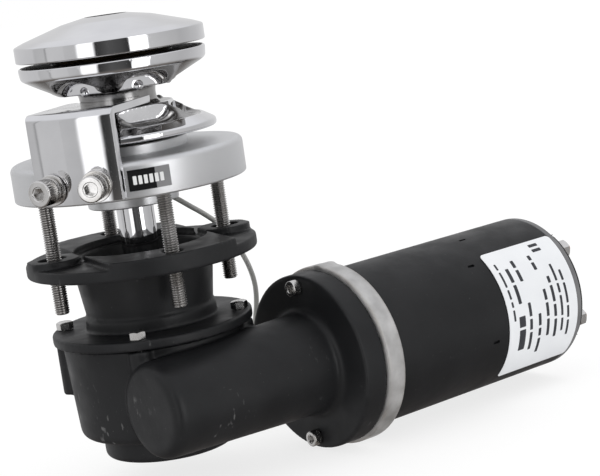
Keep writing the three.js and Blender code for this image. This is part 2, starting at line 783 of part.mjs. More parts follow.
const tubeRing = ring(MOTOR_R, MOTOR_R - MOTOR_WALL, MOTOR_X, CAP_X - GAP, FINE);
add("motor_tube", onWormAxis(tubeRing), blackTube);

const TERMINAL_CIRCLE = 37.5;
const TERMINAL_ANGLES = [137, 203]; // degrees about the worm axis, from +Y towards +Z

// A place on a circle about the worm axis.
function roundWorm(radius, degrees, x) {
  return new THREE.Vector3(
    x,
    -CENTRES + radius * Math.cos(rad(degrees)),
    WORM_Z + radius * Math.sin(rad(degrees)),
  );
}

// A piece turned about its own axis, stood along X on a circle about the worm axis.
function stoodRoundWorm(geometry, degrees, circle = TERMINAL_CIRCLE) {
  return alongX(geometry).translate(...roundWorm(circle, degrees, 0));
}

function endCap() {
  const seat = REAR_BEARING.outer + GAP;
  const inner = MOTOR_R - MOTOR_WALL - GAP;
  const cap = turnedRing([
    [seat, 217],
    [18, 217],
    [18, 227],
    [inner - 3, 227],
    [inner, 228],
    [inner, CAP_X],
    [MOTOR_R, CAP_X],
    [MOTOR_R, MOTOR_END - 1],
    [MOTOR_R - 1, MOTOR_END],
    [5, MOTOR_END],
    [5, REAR_BEARING.end + GAP],
    [seat, REAR_BEARING.end + GAP],
  ]);
  const holes = TERMINAL_ANGLES.map((a) =>
    stoodRoundWorm(ring(4 + GAP, 0, 220, MOTOR_END + 1, 12), a).translate(0, CENTRES, -WORM_Z),
  );
  return cut(alongX(cap), ...holes).translate(0, -CENTRES, WORM_Z);
}

add("motor_end_cap", endCap(), castAlloy);
const rearBearing = bearing(REAR_BEARING.outer, 6, REAR_BEARING.start, REAR_BEARING.end);
add("motor_rear_bearing", onWormAxis(rearBearing), steel);

// An insulating strip on the end cap, with a sleeve round each terminal stud.
function terminalBoard() {
  const [first, last] = TERMINAL_ANGLES;
  const board = wormSector(43, 31, MOTOR_END + GAP, 236.4, first - 12, last + 12, 8);
  const sleeves = TERMINAL_ANGLES.map((a) => stoodRoundWorm(ring(4, 0, 224, 236, 12), a));
  const bores = TERMINAL_ANGLES.map((a) => stoodRoundWorm(ring(3 + GAP, 0, 223, 237, 12), a));
  return cut(join(board, ...sleeves), ...bores);
}
add("terminal_board", terminalBoard(), rubber);

TERMINAL_ANGLES.forEach((angle, i) => {
  add(`terminal_stud_${i + 1}`, stoodRoundWorm(ring(3, 0, 216, 245.4, 12), angle), copper);
  const nut = cut(ring(5.77, 0, 237, 242.2, 6), ring(3 + GAP, 0, 236, 243, 12));
  add(`terminal_nut_${i + 1}`, stoodRoundWorm(nut, angle), steel);
});

[1, -1].forEach((side, i) => {
  const screw = add(`motor_flange_screw_${i + 1}`, socketScrew(2.5, 20, 4.25, 5, 4), steel);
  screw.rotation.y = -Math.PI / 2;
  screw.position.copy(motorScrewPlace(side, MOTOR_FLANGE_X - GAP));
});

add("armature_core", armatureCore(), copper);
const commutatorRing = ring(COMMUTATOR.radius, 8, COMMUTATOR.start, COMMUTATOR.end, 20);
add("commutator", onWormAxis(commutatorRing), copper);

// Laminations and windings as one slotted body.
function armatureCore() {
  const { start, end, radius } = ARMATURE;
  const slots = Array.from({ length: 12 }, (_, i) =>
    box(radius - 5, radius + 2, -1.2, 1.2, start - 1, end + 1).rotateZ((i * Math.PI) / 6),
  );
  return onWormAxis(cut(ring(radius, 8, start, end, 24), ...slots));
}

// A curved piece about the worm axis: a sector of a ring.
function wormSector(outer, inner, x0, x1, from, to, steps) {
  const outline = [...arc(0, 0, outer, from, to, steps), ...arc(0, 0, inner, to, from, steps)];
  const points = outline.map(([y, z]) => [-z, y]);
  return onWormAxis(outward(extruded(points, x0, x1)));
}

const magnetOuter = MOTOR_R - MOTOR_WALL - GAP;
add("field_magnet_1", wormSector(magnetOuter, 28.5, 103, 183, 30, 150, 12), magnetGrey);
add("field_magnet_2", wormSector(magnetOuter, 28.5, 103, 183, 210, 330, 12), magnetGrey);

// Brushes above and below the commutator, in boxes that stand on an insulating plate.
const BRUSH = { start: 190, end: 202, half: 4, low: COMMUTATOR.radius + GAP, high: 29 };

function brushAndBox(side) {
  const turn = (geometry) => geometry.rotateX(side > 0 ? 0 : Math.PI).translate(0, -CENTRES, WORM_Z);
  const { start, end, half, low, high } = BRUSH;
  const wall = 2;
  const shell = box(start - wall, 209, -half - wall, half + wall, low + 5, high + 5);
  const room = box(start - GAP, end + GAP, -half - GAP, half + GAP, low, high + GAP);
  return { brush: turn(box(start, end, -half, half, low, high)), shell: turn(shell), room: turn(room) };
}

const brushes = [1, -1].map(brushAndBox);
brushes.forEach(({ brush }, i) => add(`motor_brush_${i + 1}`, brush, carbon));
const brushDisc = onWormAxis(ring(magnetOuter, 18.5, 207, 210, MEDIUM));
const brushShells = join(brushDisc, ...brushes.map(({ shell }) => shell));
add("brush_plate", cut(brushShells, ...brushes.map(({ room }) => room)), bronze);

// ---------------------------------------------------------------- tag and label
const TAG = { from: 235.8, to: 255.7, low: 4.2, high: 14.8 }; // degrees and heights on the rim

function flangeTag() {
  const outer = arc(0, 0, FLANGE_R + 0.7, TAG.from, TAG.to, 5);
  const inner = arc(0, 0, FLANGE_R + GAP, TAG.to, TAG.from, 5);
  return outward(extruded([...outer, ...inner], TAG.low, TAG.high));
}
add("flange_tag", flangeTag(), tagBlack);
add("motor_label", wormSector(MOTOR_R + 0.7, MOTOR_R + GAP, 173, 229.5, 127, 229, 14), labelWhite);

// ---------------------------------------------------------------- sensor and its cable
const GLAND_X = BOSS_R * Math.cos(rad(SENSOR_ANGLE));
const GLAND_Y = BOSS_R * Math.sin(rad(SENSOR_ANGLE));
const CABLE_Z = -5.2; // where the cable leaves the boss

function chainSensor() {
  const can = post(3, SENSOR_CIRCLE, SENSOR_ANGLE, BOSS_BOTTOM + 1, HUB_TOP - 2 - GAP, 12);
  const tail = radial(1.5, SENSOR_ANGLE, CABLE_Z, SENSOR_CIRCLE, BOSS_R - GAP, 10);
  return join(can, tail);
}
add("chain_sensor", chainSensor(), steel);

const glandSleeve = turned([[0, 0], [3.2, 0], [3.2, 1.6], [2.4, 3], [0, 3]], 12);
const gland = add("cable_gland", glandSleeve, rubber);
gland.rotation.set(0, Math.PI / 2, 0);
gland.rotation.order = "ZYX";
gland.rotation.z = rad(SENSOR_ANGLE);
gland.position.set(GLAND_X, GLAND_Y, CABLE_Z).add(polar(GAP, SENSOR_ANGLE));

// The cable leaves the boss, arches over the case and hangs down behind it to the coil.
const cableExit = polar(BOSS_R + 3 + 2 * GAP, SENSOR_ANGLE, CABLE_Z);
const COIL = { x: 112, y: 36, radius: 18, half: 4.5 };
const cableRoute = [
  cableExit.toArray(),
  polar(BOSS_R + 7, SENSOR_ANGLE, CABLE_Z - 0.2).toArray(),
  [29.5, 22, -7.6],
  [35, 20.4, -11.6],
  [40.5, 18, -16],
  [46.8, 16.5, -21.1],
  [54.5, 15.3, -27],
  [62.6, 15, -34],
  [70.5, 15, -43.4],
  [76.8, 15.4, -54],
  [82, 16.8, -64.4],
  [86, 19.5, -75],
  [88.4, 23.5, -85.6],
  [89.6, 28.5, -97],
  [90.2, 34, -110],
  [90.6, 39, -123],
  [90.9, 43, -134],
  [91, 44.8, -142],
  [91, 44, -146.6],
];

function cableTube(route) {
  const points = route.map((p) => new THREE.Vector3(...p));
  const path = new THREE.CatmullRomCurve3(points, false, "centripetal");
  const octagon = arc(0, 0, CABLE_R, 0, 315, 7).map(([x, y]) => new THREE.Vector2(x, y));
  const settings = { steps: 40, bevelEnabled: false, extrudePath: path };
  return outward(new THREE.ExtrudeGeometry(new THREE.Shape(octagon), settings));
}
add("sensor_cable", cableTube(cableRoute), paleCable);

const TIE = { thick: 1, half: 2.2 };
const COIL_BOTTOM = FLOOR + TIE.thick + GAP;

function coilRing() {
  const bevel = 1.5;
  const [inner, outer, height] = [COIL.radius - COIL.half, COIL.radius + COIL.half, 2 * COIL.half];
  return turnedRing(
    [
      [inner, bevel],
      [inner + bevel, 0],
      [outer - bevel, 0],
      [outer, bevel],
      [outer, height - bevel],
      [outer - bevel, height],
      [inner + bevel, height],
      [inner, height - bevel],
    ],
    24,
  ).translate(COIL.x, COIL.y, COIL_BOTTOM);
}
add("cable_coil", coilRing(), paleCable);

// The plug lies against the outside of the coil, and a tie closes round the two.
const PLUG = { radius: 4, length: 26 };
const plugY = COIL.y + COIL.radius + COIL.half + PLUG.radius + GAP;
const plugBody = ring(PLUG.radius, 0, -PLUG.length / 2, PLUG.length / 2, 14);
const plug = add("cable_plug", alongX(plugBody), carbon);
plug.position.set(COIL.x, plugY, COIL_BOTTOM + COIL.half);

function cableTie() {
  const near = COIL.y + COIL.radius - COIL.half - 2 * GAP;
  const far = plugY + PLUG.radius + GAP;
  const [low, high] = [FLOOR + TIE.thick, COIL_BOTTOM + 2 * COIL.half + GAP];
  const [from, to] = [COIL.x - TIE.half, COIL.x + TIE.half];
  const outer = box(from, to, near - TIE.thick, far + TIE.thick, FLOOR, high + TIE.thick);
  return cut(outer, box(from - 1, to + 1, near, far, low, high));
}
add("cable_tie", cableTie(), rubber);

export default model;
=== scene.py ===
"""Looks for a vertical anchor windlass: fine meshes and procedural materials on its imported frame.

Lengths are written in millimetres, as in the part's own source, and scaled
once when a mesh is made.
"""

import math
from collections import namedtuple

import bmesh
import bpy
from mathutils import Matrix, Vector


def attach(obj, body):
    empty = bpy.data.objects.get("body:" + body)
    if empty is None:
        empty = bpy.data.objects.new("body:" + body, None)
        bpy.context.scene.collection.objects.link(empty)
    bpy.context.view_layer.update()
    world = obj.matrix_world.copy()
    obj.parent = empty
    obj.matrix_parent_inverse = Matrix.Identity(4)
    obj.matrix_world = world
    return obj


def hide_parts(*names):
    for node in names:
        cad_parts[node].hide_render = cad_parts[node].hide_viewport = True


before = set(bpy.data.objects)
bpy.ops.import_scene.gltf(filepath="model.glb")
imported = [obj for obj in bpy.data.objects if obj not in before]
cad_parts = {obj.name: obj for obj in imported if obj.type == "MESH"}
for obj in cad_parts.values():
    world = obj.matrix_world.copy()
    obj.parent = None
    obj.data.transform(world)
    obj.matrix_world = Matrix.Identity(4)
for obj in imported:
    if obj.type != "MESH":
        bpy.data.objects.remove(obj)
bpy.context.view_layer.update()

MM = 0.001
GAP = 0.3
SCENE = bpy.context.scene

# ---- sizes shared with the part
SHAFT_R = 10
THREAD_R = 8
SHAFT_TOP = 82
FLANGE_R = 62.1
FLANGE_H = 19.1
HUB_R = 33
HUB_TOP = 24.2
BOSS_R = 24.4
BOSS_BOTTOM = -9.3
STUD_CIRCLE = 48.5
STUD_R = 4
STUD_ANGLES = [-14.7 + 90 * i for i in range(4)]
STUD_TOP = 12
STUD_BOTTOM = -60.5
GYPSY_R = 50
GYPSY_BOTTOM = 26.6
GYPSY_TOP = 69.5
GROOVE_Z = 48
NECK_R = 20.2
POCKET_ANGLES = [201 + 60 * i for i in range(6)]
CAP_R = 50.2
CAP_BOTTOM = 72
STRIPPER_ANGLE = 211.7
STRIPPER_OUTER = 66.4
STRIPPER_THICK = 3.9
STRIPPER_HALF = 24
STRIPPER_TOP = 47.7
STRIPPER_PLATE = 3.5
STRIPPER_SCREW_ANGLES = [STRIPPER_ANGLE - 10.4, STRIPPER_ANGLE + 10.4]
STRIPPER_SCREW_Z = 9.8
UNDER_R = 62.2
UNDER_TOP = -34.3
UNDER_BOTTOM = -40.6
PAD_TOP = -30.7
JOINT_Z = -78.8
JOINT_R = 54.2
JOINT_THICK = 5.2
CASE_TOP = JOINT_Z - 0.8
CASE_R = 49.5
CASE_BOTTOM = -144
CASE_BOLT_CIRCLE = 48
CASE_BOLT_ANGLES = [46.5 + 90 * i for i in range(4)]
BOLT_HOLE_R = 2.8
SEAL_R = 16
SEAL_TOP = -55
BEARING_R = 21
BEARING_TOP = -62
BEARING_BOTTOM = -75
COLUMN_BOTTOM = -109
CENTRES = 50
WORM_Z = -109.2
TUBE_END = -42.3
TUBE_R_END = 25
TUBE_R_FLANGE = 28.2
MOTOR_FLANGE_X = 62.5
MOTOR_FLANGE_R = 48.3
RING_X = 76.8
RING_R = 50
MOTOR_X = 89.3
MOTOR_R = 44.9
CAP_X = 230
MOTOR_END = 234
MOTOR_SCREW_CIRCLE = 42
MOTOR_SCREW_ANGLES = (90, 270)
MOTOR_BEARING_R = 17
TERMINAL_CIRCLE = 37.5
TERMINAL_ANGLES = [137, 203]
SENSOR_ANGLE = 40
CABLE_R = 1.5
FLOOR = WORM_Z - RING_R


# ---- places
moved = Matrix.Translation


def about_x(degrees):
    return Matrix.Rotation(math.radians(degrees), 4, "X")


def about_z(degrees):
    return Matrix.Rotation(math.radians(degrees), 4, "Z")


def polar(radius, degrees, z=0.0):
    turn = math.radians(degrees)
    return Vector((radius * math.cos(turn), radius * math.sin(turn), z))


ALONG_X = Matrix.Rotation(math.radians(90), 4, "Y")
WORM_AXIS = moved((0, -CENTRES, WORM_Z)) @ ALONG_X


def round_worm(radius, degrees, x=0.0):
    """A place on a circle about the worm's axis, from +Y towards +Z."""
    turn = math.radians(degrees)
    return Vector((x, -CENTRES + radius * math.cos(turn), WORM_Z + radius * math.sin(turn)))


# ---- camera
def add_camera():
    """A long lens above the deck, looking down a little and rolled, so that the shaft leans left."""
    data = bpy.data.cameras.new("camera")
    data.lens = 108
    data.clip_start = 0.05
    camera = bpy.data.objects.new("camera", data)
    SCENE.collection.objects.link(camera)
    turn = about_z(-38.1) @ about_x(90 - 9.26) @ about_z(-7.97)
    camera.matrix_world = moved((-0.5221, -0.8039, 0.1147)) @ turn
    SCENE.camera = camera


add_camera()


# ---- materials
class Nodes:
    """A node tree, with short ways to add what it needs."""

    def __init__(self, tree, coords):
        self.tree = tree
        self.coords = tree.nodes.new("ShaderNodeTexCoord").outputs[coords]

    def put(self, socket, value):
        if isinstance(value, bpy.types.NodeSocket):
            self.tree.links.new(value, socket)
        elif isinstance(value, tuple) and len(value) == 3 and socket.type == "RGBA":
            socket.default_value = (*value, 1)
        else:
            socket.default_value = value

    def node(self, kind, inputs=(), output=0, **settings):
        made = self.tree.nodes.new("ShaderNode" + kind)
        for key, value in settings.items():
            setattr(made, key, value)
        for key, value in dict(inputs).items():
            self.put(made.inputs[key], value)
        return made.outputs[output]

    def stretched(self, x, y, z):
        return self.node("Mapping", {"Vector": self.coords, "Scale": (x, y, z)})

    def noise(self, scale, detail, coords=None):
        where = coords or self.coords
        return self.node("TexNoise", {"Vector": where, "Scale": scale, "Detail": detail})

    def math(self, operation, a, b):
        return self.node("Math", {0: a, 1: b}, operation=operation)

    def spread(self, value, low, high, to_low, to_high):
        """Maps low..high to to_low..to_high, clamped."""
        inputs = {"Value": value, 1: low, 2: high, 3: to_low, 4: to_high}
        return self.node("MapRange", inputs, clamp=True)

    def mix(self, factor, a, b):
        return self.node("Mix", {0: factor, 6: a, 7: b}, 2, data_type="RGBA")

    def tones(self, value, first, second, low=0.35, high=0.7):
        """The first colour where the value is low, the second where it is high."""
        return self.mix(self.spread(value, low, high, 0, 1), first, second)


class Look(Nodes):
    """A principled material whose colour, roughness and bump come from nodes."""

    def __init__(self, name, roughness, metallic):
        self.material = bpy.data.materials.new(name)
        self.material.use_nodes = True
        super().__init__(self.material.node_tree, "Object")
        self.inputs = self.tree.nodes["Principled BSDF"].inputs
        self.inputs["Roughness"].default_value = roughness
        self.inputs["Metallic"].default_value = metallic

    def colour(self, value):
        self.put(self.inputs["Base Color"], value)

    def roughness(self, value):
        self.put(self.inputs["Roughness"], value)

    def bump(self, height, strength, distance):
        """distance is in metres."""
        inputs = {"Height": height, "Strength": strength, "Distance": distance}
        self.put(self.inputs["Normal"], self.node("Bump", inputs))

    def edges(self, low=0.52, high=0.58):
        """1 on outward edges of a dense mesh, 0 elsewhere."""
        pointed = self.node("NewGeometry", output="Pointiness")
        return self.spread(pointed, low, high, 0.0, 1.0)


def polish(look):
    """The wavy surface of polished stainless steel; gives back its colour and its haze."""
    smear = look.noise(45, 4)
    look.bump(look.noise(60, 2), 0.06, 0.0006)
    bright = look.tones(smear, (0.76, 0.76, 0.775), (0.84, 0.84, 0.85))
    return bright, look.spread(smear, 0.4, 0.75, 0.03, 0.09)


def mirror_steel():
    look = Look("mirror_steel", 0.05, 1)
    bright, haze = polish(look)
    look.colour(bright)
    fine = look.noise(900, 2, look.stretched(1, 1, 6))
    look.roughness(look.math("ADD", haze, look.spread(fine, 0.5, 0.8, 0, 0.05)))
    return look.material


def chain_wheel_steel():
    """Mirror polish on the rims and the pocket floors, duller where a polishing wheel can't
    reach: on the neck, and on both cones from their foot to their edge. Sizes in metres."""
    look = Look("chain_wheel_steel", 0.05, 1)
    bright, haze = polish(look)
    across = look.stretched(1, 1, 0)
    radius = look.node("VectorMath", {0: across}, output=1, operation="LENGTH")
    height = look.node("SeparateXYZ", {"Vector": look.coords}, output=2)
    cone_edge = look.spread(height, 0.0475, 0.0485, 0.0422, 0.0482)
    past_edge = look.math("SUBTRACT", radius, cone_edge)
    past_foot = look.spread(radius, 0.0314, 0.0322, 0, 1)
    cones = look.math("MULTIPLY", past_foot, look.spread(past_edge, 0, 0.0005, 1, 0))
    dull = look.math("MAXIMUM", look.spread(radius, 0.0272, 0.0280, 1, 0), cones)
    unpolished = look.tones(look.noise(120, 4), (0.30, 0.295, 0.29), (0.42, 0.415, 0.41), 0.3)
    look.colour(look.mix(dull, bright, unpolished))
    look.roughness(look.math("ADD", haze, look.math("MULTIPLY", dull, 0.13)))
    return look.material


def plain_steel():
    look = Look("plain_steel", 0.25, 1)
    grain = look.noise(350, 2)
    look.colour(look.tones(look.noise(90, 4), (0.74, 0.73, 0.72), (0.52, 0.50, 0.47), 0.45, 0.75))
    look.roughness(look.spread(grain, 0.3, 0.7, 0.16, 0.28))
    look.bump(grain, 0.04, 0.0001)
    return look.material


def groove_shaded_steel():
    """Steel with painted shade in its thread grooves: near black where the mesh is hollow, and
    bright on the crests.
    """
    look = Look("groove_shaded_steel", 0.25, 1)
    crest = look.edges(0.44, 0.53)
    bright = look.tones(look.noise(60, 3), (0.80, 0.79, 0.78), (0.62, 0.60, 0.58), 0.4)
    # Painted shade: near black in the grooves, the steel's own colour on the crests.
    look.colour(look.mix(crest, (0.05, 0.048, 0.045), bright))
    look.roughness(look.spread(crest, 0, 1, 0.45, 0.2))
    return look.material


def anodised():
    look = Look("anodised_aluminium", 0.4, 0.9)
    grain = look.noise(1500, 2)
    look.colour(look.tones(look.noise(25, 3), (0.68, 0.685, 0.695), (0.73, 0.735, 0.745)))
    lathe = look.noise(120, 2, look.stretched(0.02, 0.02, 12))
    haze = look.spread(grain, 0.3, 0.7, 0.30, 0.40)
    look.roughness(look.math("ADD", haze, look.spread(lathe, 0.3, 0.7, 0, 0.06)))
    look.bump(look.math("ADD", grain, lathe), 0.05, 0.0001)
    return look.material


def black_paint(name, scuffed):
    """Satin paint on a casting: orange peel, specks of dust, rubbed edges, a few scuffs."""
    look = Look(name, 0.45, 0)
    look.inputs["Specular IOR Level"].default_value = 0.3
    base = look.tones(look.noise(30, 4), (0.0085, 0.0088, 0.0097), (0.0125, 0.0128, 0.0138))
    rubbed = look.spread(look.noise(160, 3), 0.45, 0.6, 0, 0.3)
    base = look.mix(look.math("MULTIPLY", look.edges(), rubbed), base, (0.05, 0.05, 0.052))
    dust = look.spread(look.noise(620, 2), 0.72, 0.78, 0, 0.25)
    base = look.mix(dust, base, (0.12, 0.12, 0.115))
    if scuffed:
        streaks = look.noise(420, 5, look.stretched(1, 0.6, 0.35))
        patch = look.spread(look.noise(30, 1), 0.60, 0.68, 0, 0.5)
        scuff = look.math("MULTIPLY", look.spread(streaks, 0.62, 0.69, 0, 1), patch)
        base = look.mix(scuff, base, (0.17, 0.17, 0.17))
    look.colour(base)
    look.roughness(look.spread(look.noise(70, 4), 0.3, 0.75, 0.36, 0.56))
    peel = look.math("ADD", look.noise(420, 3), look.math("MULTIPLY", look.noise(1600, 2), 0.4))
    look.bump(peel, 0.22, 0.0002)
    return look.material


def cast_alloy():
    """A bare casting: mottled, pitted, and stained brown towards its edges."""
    look = Look("cast_alloy", 0.55, 0.75)
    mottle = look.noise(75, 6)
    base = look.tones(mottle, (0.43, 0.425, 0.42), (0.66, 0.655, 0.65), 0.35, 0.65)
    patch = look.spread(look.noise(55, 4), 0.4, 0.6, 0.2, 0.8)
    stain = look.math("MULTIPLY", look.edges(0.505, 0.56), patch)
    look.colour(look.mix(stain, base, (0.33, 0.28, 0.23)))
    look.roughness(look.spread(mottle, 0.3, 0.7, 0.42, 0.68))
    look.bump(look.math("ADD", look.noise(300, 4), look.noise(900, 2)), 0.25, 0.0002)
    return look.material


def tarnished(name, bright, dark, patches, haze, grain, lay, strength):
    """Bronze or copper: bright and dark patches, and a grain that may lie one way."""
    look = Look(name, 0.3, 1)
    cloud = look.noise(patches, 4)
    look.colour(look.mix(cloud, bright, dark))
    look.roughness(look.spread(cloud, 0.3, 0.7, *haze))
    look.bump(look.noise(grain, 2, look.stretched(*lay)), strength, 0.0001)
    return look.material


BRONZE = ((0.62, 0.45, 0.20), (0.46, 0.31, 0.13), 80, (0.22, 0.40), 800, (1, 1, 1), 0.1)
COPPER = ((0.72, 0.36, 0.20), (0.48, 0.22, 0.12), 120, (0.25, 0.45), 500, (0.1, 1, 1), 0.15)


def matt(name, low, high, roughness, grain=900, strength=0.2, specular=0.5):
    """Rubber, carbon, ferrite or moulded plastic: two close tones and a fine grain."""
    look = Look(name, roughness, 0)
    look.inputs["Specular IOR Level"].default_value = specular
    cloud = look.noise(60, 4)
    look.colour(look.tones(cloud, low, high))
    look.roughness(look.spread(cloud, 0.3, 0.7, roughness - 0.07, roughness + 0.07))
    look.bump(look.noise(grain, 3), strength, 0.0001)
    return look.material


LOOKS = {
    "polished_stainless": mirror_steel(),
    "stainless_steel": plain_steel(),
    "anodised_aluminium": anodised(),
    "black_paint": black_paint("black_paint", True),
    "cast_alloy": cast_alloy(),
    "black_tube": black_paint("black_tube", False),
    "bronze": tarnished("bronze", *BRONZE),
    "black_rubber": matt("black_rubber", (0.012, 0.012, 0.012), (0.022, 0.022, 0.022), 0.75),
    "copper": tarnished("copper", *COPPER),
    "ferrite": matt("ferrite", (0.05, 0.05, 0.052), (0.08, 0.08, 0.082), 0.6),
    "cable_grey": matt("cable_grey", (0.46, 0.46, 0.44), (0.56, 0.56, 0.54), 0.45, 400, 0.1),
    "label_film": matt("label_film", (0.80, 0.815, 0.84), (0.84, 0.855, 0.875), 0.4, 300, 0.05),
    "carbon": matt("carbon", (0.004, 0.004, 0.0045), (0.008, 0.008, 0.0085), 0.5),
}
CHAIN_WHEEL = chain_wheel_steel()
GREASED = matt("greased_bronze", (0.035, 0.026, 0.016), (0.07, 0.05, 0.028), 0.35)
ZINC = matt("zinc_cast", (0.13, 0.13, 0.135), (0.19, 0.19, 0.195), 0.5)
THREADED = groove_shaded_steel()
# Painted shade: a near-black matt colour for faces in the gap under the clutch cap and in the cap's
# socket.
PAINTED_SHADE = matt("painted_shade_face", (0.03, 0.029, 0.028), (0.06, 0.058, 0.055), 0.4)
PRINT_INK = matt("print_ink", (0.02, 0.022, 0.028), (0.035, 0.037, 0.045), 0.5)
TAG_BLACK = matt("tag_black", (0.004, 0.004, 0.0045), (0.007, 0.007, 0.0075), 0.6, specular=0.15)
TAG_GREY = matt("tag_grey", (0.17, 0.17, 0.175), (0.21, 0.21, 0.215), 0.45)
TAG_MARK = matt("tag_mark", (0.70, 0.70, 0.70), (0.80, 0.80, 0.80), 0.45)


# ---- meshes
def arc(x, y, radius, start, stop, steps):
    """Points of an arc in a profile, with its angles in degrees."""
    turns = [math.radians(start + (stop - start) * i / steps) for i in range(steps + 1)]
    return [(x + radius * math.cos(t), y + radius * math.sin(t)) for t in turns]


def new_object(name, verts, faces, place=None):
    """An object at the origin whose vertices are in metres where the piece stands."""
    mesh = bpy.data.meshes.new(name)
    place = place or Matrix.Identity(4)
    mesh.from_pydata([tuple((place @ Vector(v)) * MM) for v in verts], [], faces)
    work = bmesh.new()
    work.from_mesh(mesh)
    bmesh.ops.recalc_face_normals(work, faces=work.faces)
    work.to_mesh(mesh)
    work.free()
    made = bpy.data.objects.new(name, mesh)
    SCENE.collection.objects.link(made)
    return made


def turned(name, profile, segments, place=None):
    """A profile of (radius, height) points turned about Z: closed on the axis or on itself. A
    point's third number, if any, is the depth of the knurling there."""
    verts, rings = [], []
    for radius, height, *knurl in profile:
        count = 1 if radius == 0 else segments
        rings.append([len(verts) + i for i in range(count)])
        for i in range(count):
            turn = 2 * math.pi * i / segments
            reach = radius - sum(knurl) * (i % 2)
            verts.append((reach * math.cos(turn), reach * math.sin(turn), height))
    closed = profile[0][0] > 0
    pairs = list(zip(rings, rings[1:] + rings[:1] if closed else rings[1:]))
    faces = []
    for low, high in pairs:
        for i in range(segments):
            j = (i + 1) % segments
            corners = [(low, i), (low, j), (high, j), (high, i)]
            face = list(dict.fromkeys(ring[k % len(ring)] for ring, k in corners))
            if len(face) > 2:
                faces.append(face)
    return new_object(name, verts, faces, place)


def tube_ring(name, outer, inner, z0, z1, segments, place=None, edge=0.0):
    """A plain ring or disc with small chamfers on its outer edges."""
    outside = [(outer - edge, z0), (outer, z0 + edge), (outer, z1 - edge), (outer - edge, z1)]
    profile = [(inner, z0), *dict.fromkeys(outside), (inner, z1)]
    return turned(name, profile, segments, place)


def prism(name, outline, z0, z1, place=None):
    count = len(outline)
    verts = [(x, y, z0) for x, y in outline] + [(x, y, z1) for x, y in outline]
    sides = [(i, (i + 1) % count, count + (i + 1) % count, count + i) for i in range(count)]
    faces = [tuple(range(count)), tuple(range(2 * count - 1, count - 1, -1)), *sides]
    return new_object(name, verts, faces, place)


def block(name, x, y, z, place=None):
    return prism(name, [(x[0], y[0]), (x[1], y[0]), (x[1], y[1]), (x[0], y[1])], *z, place)


def applied(piece):
    """Replaces the piece's mesh by what its modifiers make of it."""
    graph = bpy.context.evaluated_depsgraph_get()
    mesh = bpy.data.meshes.new_from_object(piece.evaluated_get(graph))
    piece.modifiers.clear()
    piece.data = mesh
    return piece


def combined(piece, tools, operation="DIFFERENCE"):
    """Joins the tools to the piece, or cuts them from it, and removes them."""
    for tool in tools:
        modifier = piece.modifiers.new("combine", "BOOLEAN")
        modifier.operation = operation
        modifier.solver = "EXACT"
        modifier.object = tool
    applied(piece)
    for tool in tools:
        bpy.data.objects.remove(tool)
    return piece


def bevelled(piece, width, segments, angle=32):
    modifier = piece.modifiers.new("edges", "BEVEL")
    modifier.width = width * MM
    modifier.segments = segments
    modifier.limit_method = "ANGLE"
    modifier.angle_limit = math.radians(angle)
    return applied(piece)


def cast(piece, voxel, rounds):
    """Soft edges and fillets, as on a casting: an even remesh, smoothed a little."""
    remesh = piece.modifiers.new("skin", "REMESH")
    remesh.mode = "VOXEL"
    remesh.voxel_size = voxel * MM
    smooth = piece.modifiers.new("soften", "SMOOTH")
    smooth.factor = 0.5
    smooth.iterations = rounds
    return applied(piece)


def shown(piece, slot, body="housing", nodes=None, angle=35, look=None):
    """Shades the piece, gives it the look given or else its slot's material, and lets it stand for
    its CAD nodes: those given, or the one that it is named after."""
    piece.data.materials.clear()
    piece.data.materials.append(look or LOOKS[slot])
    if piece.type == "MESH":
        piece.data.shade_smooth()
        piece.data.set_sharp_from_angle(angle=math.radians(angle))
    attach(piece, body)
    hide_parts(*(nodes or [piece.name.removesuffix("_skin")]))
    return piece


def paint_shade_on(piece, look, test):
    """Gives another material to the faces whose centre and normal pass the test."""
    piece.data.materials.append(look)
    for face in piece.data.polygons:
        if test(face.center, face.normal):
            face.material_index = len(piece.data.materials) - 1


# ---- the sensor's cable
CABLE_Z = -5.2
EXIT = polar(BOSS_R + 3 + 2 * GAP, SENSOR_ANGLE, CABLE_Z)
COIL_X = 112
COIL_Y = 36
COIL_R = 18
COIL_HALF = 4.5
COIL_PITCH = 3.03
COIL_BOTTOM = FLOOR + 1 + GAP
ROUTE = [
    EXIT,
    polar(BOSS_R + 7, SENSOR_ANGLE, CABLE_Z - 0.2),
    (29.5, 22, -7.6), (35, 20.4, -11.6), (40.5, 18, -16), (46.8, 16.5, -21.1), (54.5, 15.3, -27),
    (62.6, 15, -34), (70.5, 15, -43.4), (76.8, 15.4, -54), (82, 16.8, -64.4), (86, 19.5, -75),
    (88.4, 23.5, -85.6), (89.6, 28.5, -97), (90.2, 34, -110), (90.6, 39, -123), (90.9, 43, -134),
    (91, 44.8, -142), (91, 44, -146.6),
]


def smooth_path(points, steps=5):
    """A centripetal Catmull-Rom curve through the points."""
    knots = [Vector(p) for p in points]
    knots = [2 * knots[0] - knots[1], *knots, 2 * knots[-1] - knots[-2]]
    path = []
    for a, b, c, d in zip(knots, knots[1:], knots[2:], knots[3:]):
        t0 = 0.0
        t1 = t0 + (b - a).length ** 0.5
        t2 = t1 + (c - b).length ** 0.5
        t3 = t2 + (d - c).length ** 0.5
        for i in range(steps):
            t = t1 + (t2 - t1) * i / steps
            ab = a.lerp(b, (t - t0) / (t1 - t0))
            bc = b.lerp(c, (t - t1) / (t2 - t1))
            cd = c.lerp(d, (t - t2) / (t3 - t2))
            abc = ab.lerp(bc, (t - t0) / (t2 - t0))
            bcd = bc.lerp(cd, (t - t1) / (t3 - t1))
            path.append(abc.lerp(bcd, (t - t1) / (t2 - t1)))
    path.append(knots[-2])
    return path


